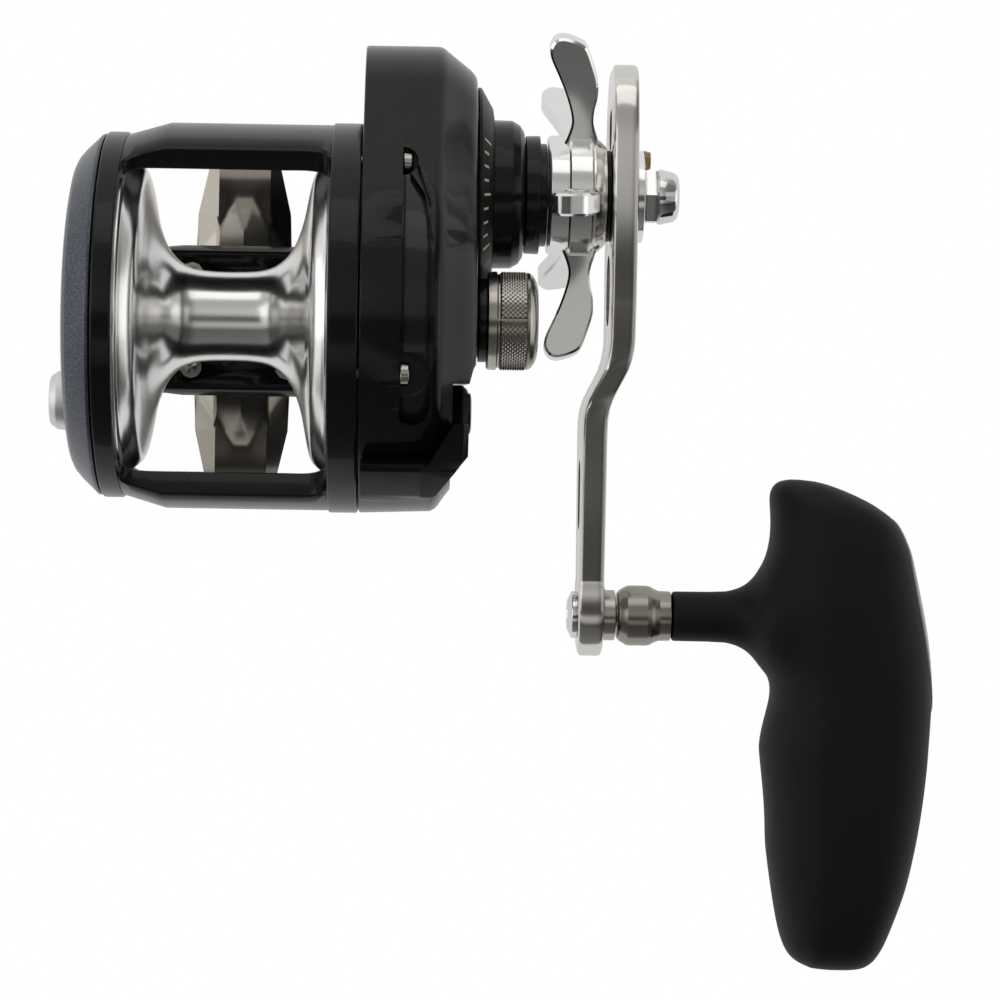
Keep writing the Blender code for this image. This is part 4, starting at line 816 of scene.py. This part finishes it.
# ---------------------------------------------------------------- handle
def make_arm(colours):
    outer_x, inner_x, thick = 79.7, 74.4, 2.5
    sections = [(-26.9, outer_x, 1.7, 2.6), (-26.7, outer_x, 2.1, 4.4), (-26.0, outer_x, 2.4, 6.6)]
    sections += [(-24.8, outer_x, thick, 8.6), (-22.8, outer_x, thick, 10.5), (-19.8, outer_x, thick, 12.1)]
    sections += [(-16.0, outer_x, thick, 13.2), (-11.0, outer_x, thick, 13.9), (-4.0, outer_x, thick, 14.0)]
    sections += [(4.0, outer_x, thick, 14.0), (21.0, outer_x, thick, 13.3), (22.2, outer_x, thick, 13.1)]
    sections += [(30.0, outer_x - 0.05, thick, 12.4), (32.0, outer_x - 0.25, thick, 12.3)]
    sections += [(34.0, outer_x - 0.65, thick, 12.1), (36.0, outer_x - 1.3, thick, 12.0)]
    sections += [(38.0, outer_x - 2.3, thick, 11.85), (40.0, inner_x + 1.95, thick, 11.7)]
    sections += [(42.0, inner_x + 1.0, thick, 11.55), (44.0, inner_x + 0.4, thick, 11.4)]
    sections += [(46.0, inner_x + 0.1, thick, 11.2), (48.5, inner_x, thick, 11.0)]
    sections += [(60.0, inner_x, thick, 10.1)]
    sections += [(78.9, inner_x, thick, 8.4), (79.6, inner_x, 2.52, 8.45), (80.4, inner_x, 2.6, 8.75)]
    sections += [(82.0, inner_x, 2.6, 8.9), (84.5, inner_x, 2.6, 8.95), (86.4, inner_x, 2.6, 8.85)]
    sections += [(88.6, inner_x, 2.6, 8.4), (90.6, inner_x, 2.55, 7.4), (92.4, inner_x, 2.5, 5.9)]
    sections += [(93.6, inner_x, 2.4, 4.3), (94.4, inner_x, 2.2, 2.8), (94.7, inner_x, 1.9, 1.6)]
    rings = []
    for reach, x, half_x, half_z in sections:
        bevel = min(0.75, 0.4 * half_x, 0.4 * half_z)
        quarter = [(half_x, half_z - bevel), (half_x - 0.3 * bevel, half_z - 0.3 * bevel)]
        quarter += [(half_x - bevel, half_z)]
        quarter += [(bevel - half_x, half_z), (0.3 * bevel - half_x, half_z - 0.3 * bevel)]
        quarter += [(-half_x, half_z - bevel)]
        ring = quarter + [(-a, -b) for a, b in quarter]
        rings.append([(x + a, DRIVE[0] - reach, DRIVE[1] + b) for a, b in ring])
    arm = loft("handle_plate", rings, colours["arm"], sharp=24.0)
    combine(arm, prism("tool", circle(3.2, DRIVE, 48), 70.0, 90.0))
    combine(arm, prism("tool", circle(2.3, KNOB, 48), 68.0, 80.0))
    combine(arm, prism("tool", circle(1.2, RETAINER_SCREW, 24), 76.0, 90.0))
    for near, far, radius in ((-14.3, -12.9, 3.6), (17.4, 21.7, 5.2), (57.7, 65.7, 3.2)):
        slot = stadium((DRIVE[0] - near, DRIVE[1]), (DRIVE[0] - far, DRIVE[1]), radius)
        combine(arm, prism("tool", slot, 68.0, 90.0))
    smooth(arm, 24.0)
    keep(arm, "crank", "arm_aluminium", "handle_arm")


def hexagon_ring(x, flat, count, centre):
    ring = []
    for i in range(count):
        angle = 360.0 * i / count
        off = math.radians(angle % 60.0 if angle % 60.0 <= 30.0 else angle % 60.0 - 60.0)
        ring.append((x, *polar(flat / math.cos(off), angle, centre)))
    return ring


def make_arm_hardware(colours):
    disc = [(82.3, 3.3), (82.3, 9.5), (83.9, 9.5), (83.9, 3.3)]
    plate = lathe("retainer_disc", disc, DRIVE, colours["star"], 0.3, 128)
    combine(plate, prism("tool", circle(1.2, RETAINER_SCREW, 24), 81.0, 86.0))
    keep(plate, "crank", "satin_aluminium", "nut_retainer")
    repaint("retainer_screw", colours["brass"])
    count = 96
    rings = [[(90.1, *DRIVE)]]
    rings += [[(x, *polar(3.25, 360.0 * i / count, DRIVE)) for i in range(count)] for x in (90.1, 84.1)]
    hexes = ((84.1, 4.8), (84.35, 5.15), (84.5, 5.2), (86.6, 5.2), (86.8, 5.1), (86.9, 4.9))
    rings += [hexagon_ring(x, flat, count, DRIVE) for x, flat in hexes]
    dome = [(86.95, 5.35), (87.1, 5.6), (87.35, 5.7), (87.7, 5.68), (89.9, 5.2), (90.5, 4.95)]
    dome += [(90.95, 4.55)]
    dome += [(91.2, 4.1), (91.35, 3.5), (91.45, 2.4), (91.5, 1.2)]
    rings += [[(x, *polar(r, 360.0 * i / count, DRIVE)) for i in range(count)] for x, r in dome]
    rings.append([(91.5, *DRIVE)])
    keep(loft("cap_nut", rings, colours["chrome"]), "crank", "chrome", "handle_nut")
    spacer = [(76.35, 3.3), (76.35, 9.4), (77.1, 9.4), (77.1, 3.3)]
    ring = lathe("spacer_ring", spacer, DRIVE, colours["satin"], 0.2, 96)
    keep(ring, "crank", "black_satin", "arm_spacer")
    post = [(69.8, 0.0), (69.8, 3.0), (70.7, 4.85), (71.8, 4.85), (71.8, 2.0), (110.8, 2.0), (110.8, 3.0)]
    post += [(112.2, 2.4), (112.2, 0.0)]
    head = lathe("post_turned", post, KNOB, colours["chrome"], 0.25, 96)
    combine(head, prism("tool", [polar(2.2, 60.0 * i, KNOB) for i in range(6)], 66.0, 71.0))
    keep(head, "crank", "chrome", "knob_post")
    collar = [(77.0, 2.2), (77.0, 5.2), (79.6, 5.2), (79.6, 2.2)]
    keep(lathe("collar_turned", collar, KNOB, colours["nickel"], 0.3, 96), "crank", "nickel", "knob_collar")
    ferrule = [(80.0, 2.25), (80.0, 4.7), (80.6, 5.3), (82.0, 6.1), (82.6, 6.2), (86.1, 6.2), (86.9, 6.0)]
    ferrule += [(87.7, 5.55), (88.7, 5.15), (91.1, 5.1), (91.1, 2.25)]
    turned = lathe("ferrule_turned", ferrule, KNOB, colours["ferrule"], 0.35, 96)
    keep(turned, "knob", "nickel", "grip_ferrule")


# ---------------------------------------------------------------- grip
def relax(obj, low, high, rounds):
    """Evens out the blend between two joined shapes, within a span of X in millimetres."""
    shape = bmesh.new()
    shape.from_mesh(obj.data)
    inside = [f for f in shape.faces if low < f.calc_center_median().x / MM < high]
    bmesh.ops.triangulate(shape, faces=inside)
    for _ in range(rounds):
        verts = [v for v in shape.verts if low < v.co.x / MM < high]
        verts = [v for v in verts if math.hypot(v.co.y / MM - KNOB[0], v.co.z / MM - KNOB[1]) > 5.0]
        every_way = {"use_axis_x": True, "use_axis_y": True, "use_axis_z": True}
        bmesh.ops.smooth_vert(shape, verts=verts, factor=0.5, **every_way)
    shape.to_mesh(obj.data)
    shape.free()


def make_grip(colours):
    table = [(28.7, 115.0, 117.4, 2.2), (28.3, 113.2, 120.4, 4.6), (27.3, 111.7, 124.2, 7.2)]
    table += [(25.3, 110.9, 129.2, 9.8)]
    table += [(23.1, 111.0, 133.3, 11.6), (19.9, 111.2, 137.2, 12.8), (14.7, 111.0, 139.8, 13.8)]
    table += [(9.7, 109.4, 141.1, 14.3)]
    table += [(4.7, 107.6, 142.2, 14.7), (-0.2, 107.2, 143.2, 14.9), (-5.2, 108.0, 144.0, 15.0)]
    table += [(-10.2, 111.0, 144.5, 15.0)]
    table += [(-15.2, 111.8, 144.8, 15.0), (-19.2, 110.7, 144.8, 15.0), (-25.2, 109.3, 144.5, 14.9)]
    table += [(-31.2, 109.8, 144.1, 14.8)]
    table += [(-39.1, 110.7, 143.2, 14.6), (-47.1, 111.1, 141.9, 14.2), (-55.1, 112.1, 140.1, 13.5)]
    table += [(-62.1, 113.5, 137.7, 12.4)]
    table += [(-66.6, 114.7, 135.9, 11.0), (-69.4, 116.2, 134.3, 9.2), (-71.0, 118.4, 132.6, 7.0)]
    table += [(-71.7, 121.2, 130.8, 4.4)]

    def shell(name, proud=0.0, finish=None):
        """The grip's outside, moved along X by the given amount."""
        count, rings = 64, []
        for y, low, high, half in smooth_table(table, 110):
            middle, half_x = 0.5 * (low + high), 0.5 * (high - low)
            ring = []
            for i in range(count):
                a = 2.0 * math.pi * i / count
                ca, sa = math.cos(a), math.sin(a)
                x = middle + half_x * math.copysign(abs(ca) ** (0.6 if ca > 0.0 else 0.85), ca)
                ring.append((x + proud, KNOB[0] + y, KNOB[1] + half * math.copysign(abs(sa) ** 0.85, sa)))
            rings.append(ring)
        return loft(name, rings, finish, sharp=60.0)

    def oval(name, grow, finish=None):
        outline = []
        for i in range(96):
            c, t = math.cos(2.0 * math.pi * i / 96), math.sin(2.0 * math.pi * i / 96)
            y = (20.0 + grow) * math.copysign(abs(c) ** 0.85, c)
            outline.append((KNOB[0] + 0.9 + y, KNOB[1] + (7.8 + grow) * math.copysign(abs(t) ** 0.85, t)))
        return prism(name, outline, 125.0, 160.0, finish)

    grip = shell("grip_moulded", 0.0, colours["rubber"])
    combine(grip, combine(oval("tool", 0.18), shell("tool", -1.3)))
    neck = [(91.4, 0.0), (91.4, 5.1), (99.0, 5.15), (102.5, 5.3), (104.8, 5.9), (106.8, 7.0)]
    neck += [(108.4, 8.6), (109.8, 10.8)]
    neck += [(111.6, 12.6), (119.0, 9.0), (119.0, 0.0)]
    combine(grip, lathe("tool", neck, KNOB, None, 0.6, 64), "UNION")
    combine(grip, prism("tool", circle(4.7, KNOB, 48), 88.0, 138.0))
    relax(grip, 103.0, 120.5, 26)
    smooth(grip, 50.0)
    keep(grip, "knob", "grip_rubber", "grip")
    plate = combine(oval("inlay_plate", 0.0, colours["inlay"]), shell("tool", 0.25), "INTERSECT")
    combine(plate, shell("tool", -1.25))
    soften(plate, 0.2, 2, 40.0)
    keep(plate, "knob", "inlay", "grip_inlay")


# ---------------------------------------------------------------- fasteners
def make_fasteners(colours):
    for k, angle in enumerate(PLATE_SCREWS):
        centre = polar(PLATE_SCREW_R, angle, SPOOL)
        line = [(22.7, 0.0), (22.7, 1.25), (34.75, 1.25), (34.75, 2.3), (36.3, 2.2), (36.6, 1.8)]
        line += [(36.6, 0.0)]
        head = lathe("housing_bolt_" + str(k + 1), line, centre, colours["nickel"], 0.25, 40)
        combine(head, prism("tool", [polar(1.15, 60.0 * i, centre) for i in range(6)], 35.6, 37.5))
        keep(head, "reel", "nickel", f"housing_screw_{k + 1}")
    for node in ("foot_screw_1", "foot_screw_2", "foot_screw_3", "foot_screw_4"):
        repaint(node, colours["nickel"])
    for node in ("left_plate_screw_1", "left_plate_screw_2", "left_plate_screw_3"):
        repaint(node, colours["steel"])


INNER_PARTS = {
    "satin": "gear_plate yoke drag_washer_1 drag_washer_2",
    "chrome": "left_spool_bearing right_spool_bearing pinion_bearing drive_bearing knob_bearing",
    "steel": "pinion ratchet anti_reverse_dog clutch_cam click_pawl drive_shaft metal_washer pressure_plate"
    " roller_clutch click_spring yoke_spring_1 yoke_spring_2 spring_washer",
    "brass": "main_gear",
}


def finish_inner_parts(colours):
    """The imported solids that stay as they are, in the scene's own materials."""
    for finish, nodes in INNER_PARTS.items():
        for node in nodes.split():
            repaint(node, colours[finish])


def main():
    make_camera()
    colours = make_materials()
    make_stage()
    make_spool(colours)
    make_frame(colours)
    make_foot(colours)
    make_left_plate(colours)
    make_housing(colours)
    make_lever(colours)
    make_nose(colours)
    make_tension_knob(colours)
    make_star(colours)
    make_arm(colours)
    make_arm_hardware(colours)
    make_grip(colours)
    make_fasteners(colours)
    finish_inner_parts(colours)


main()
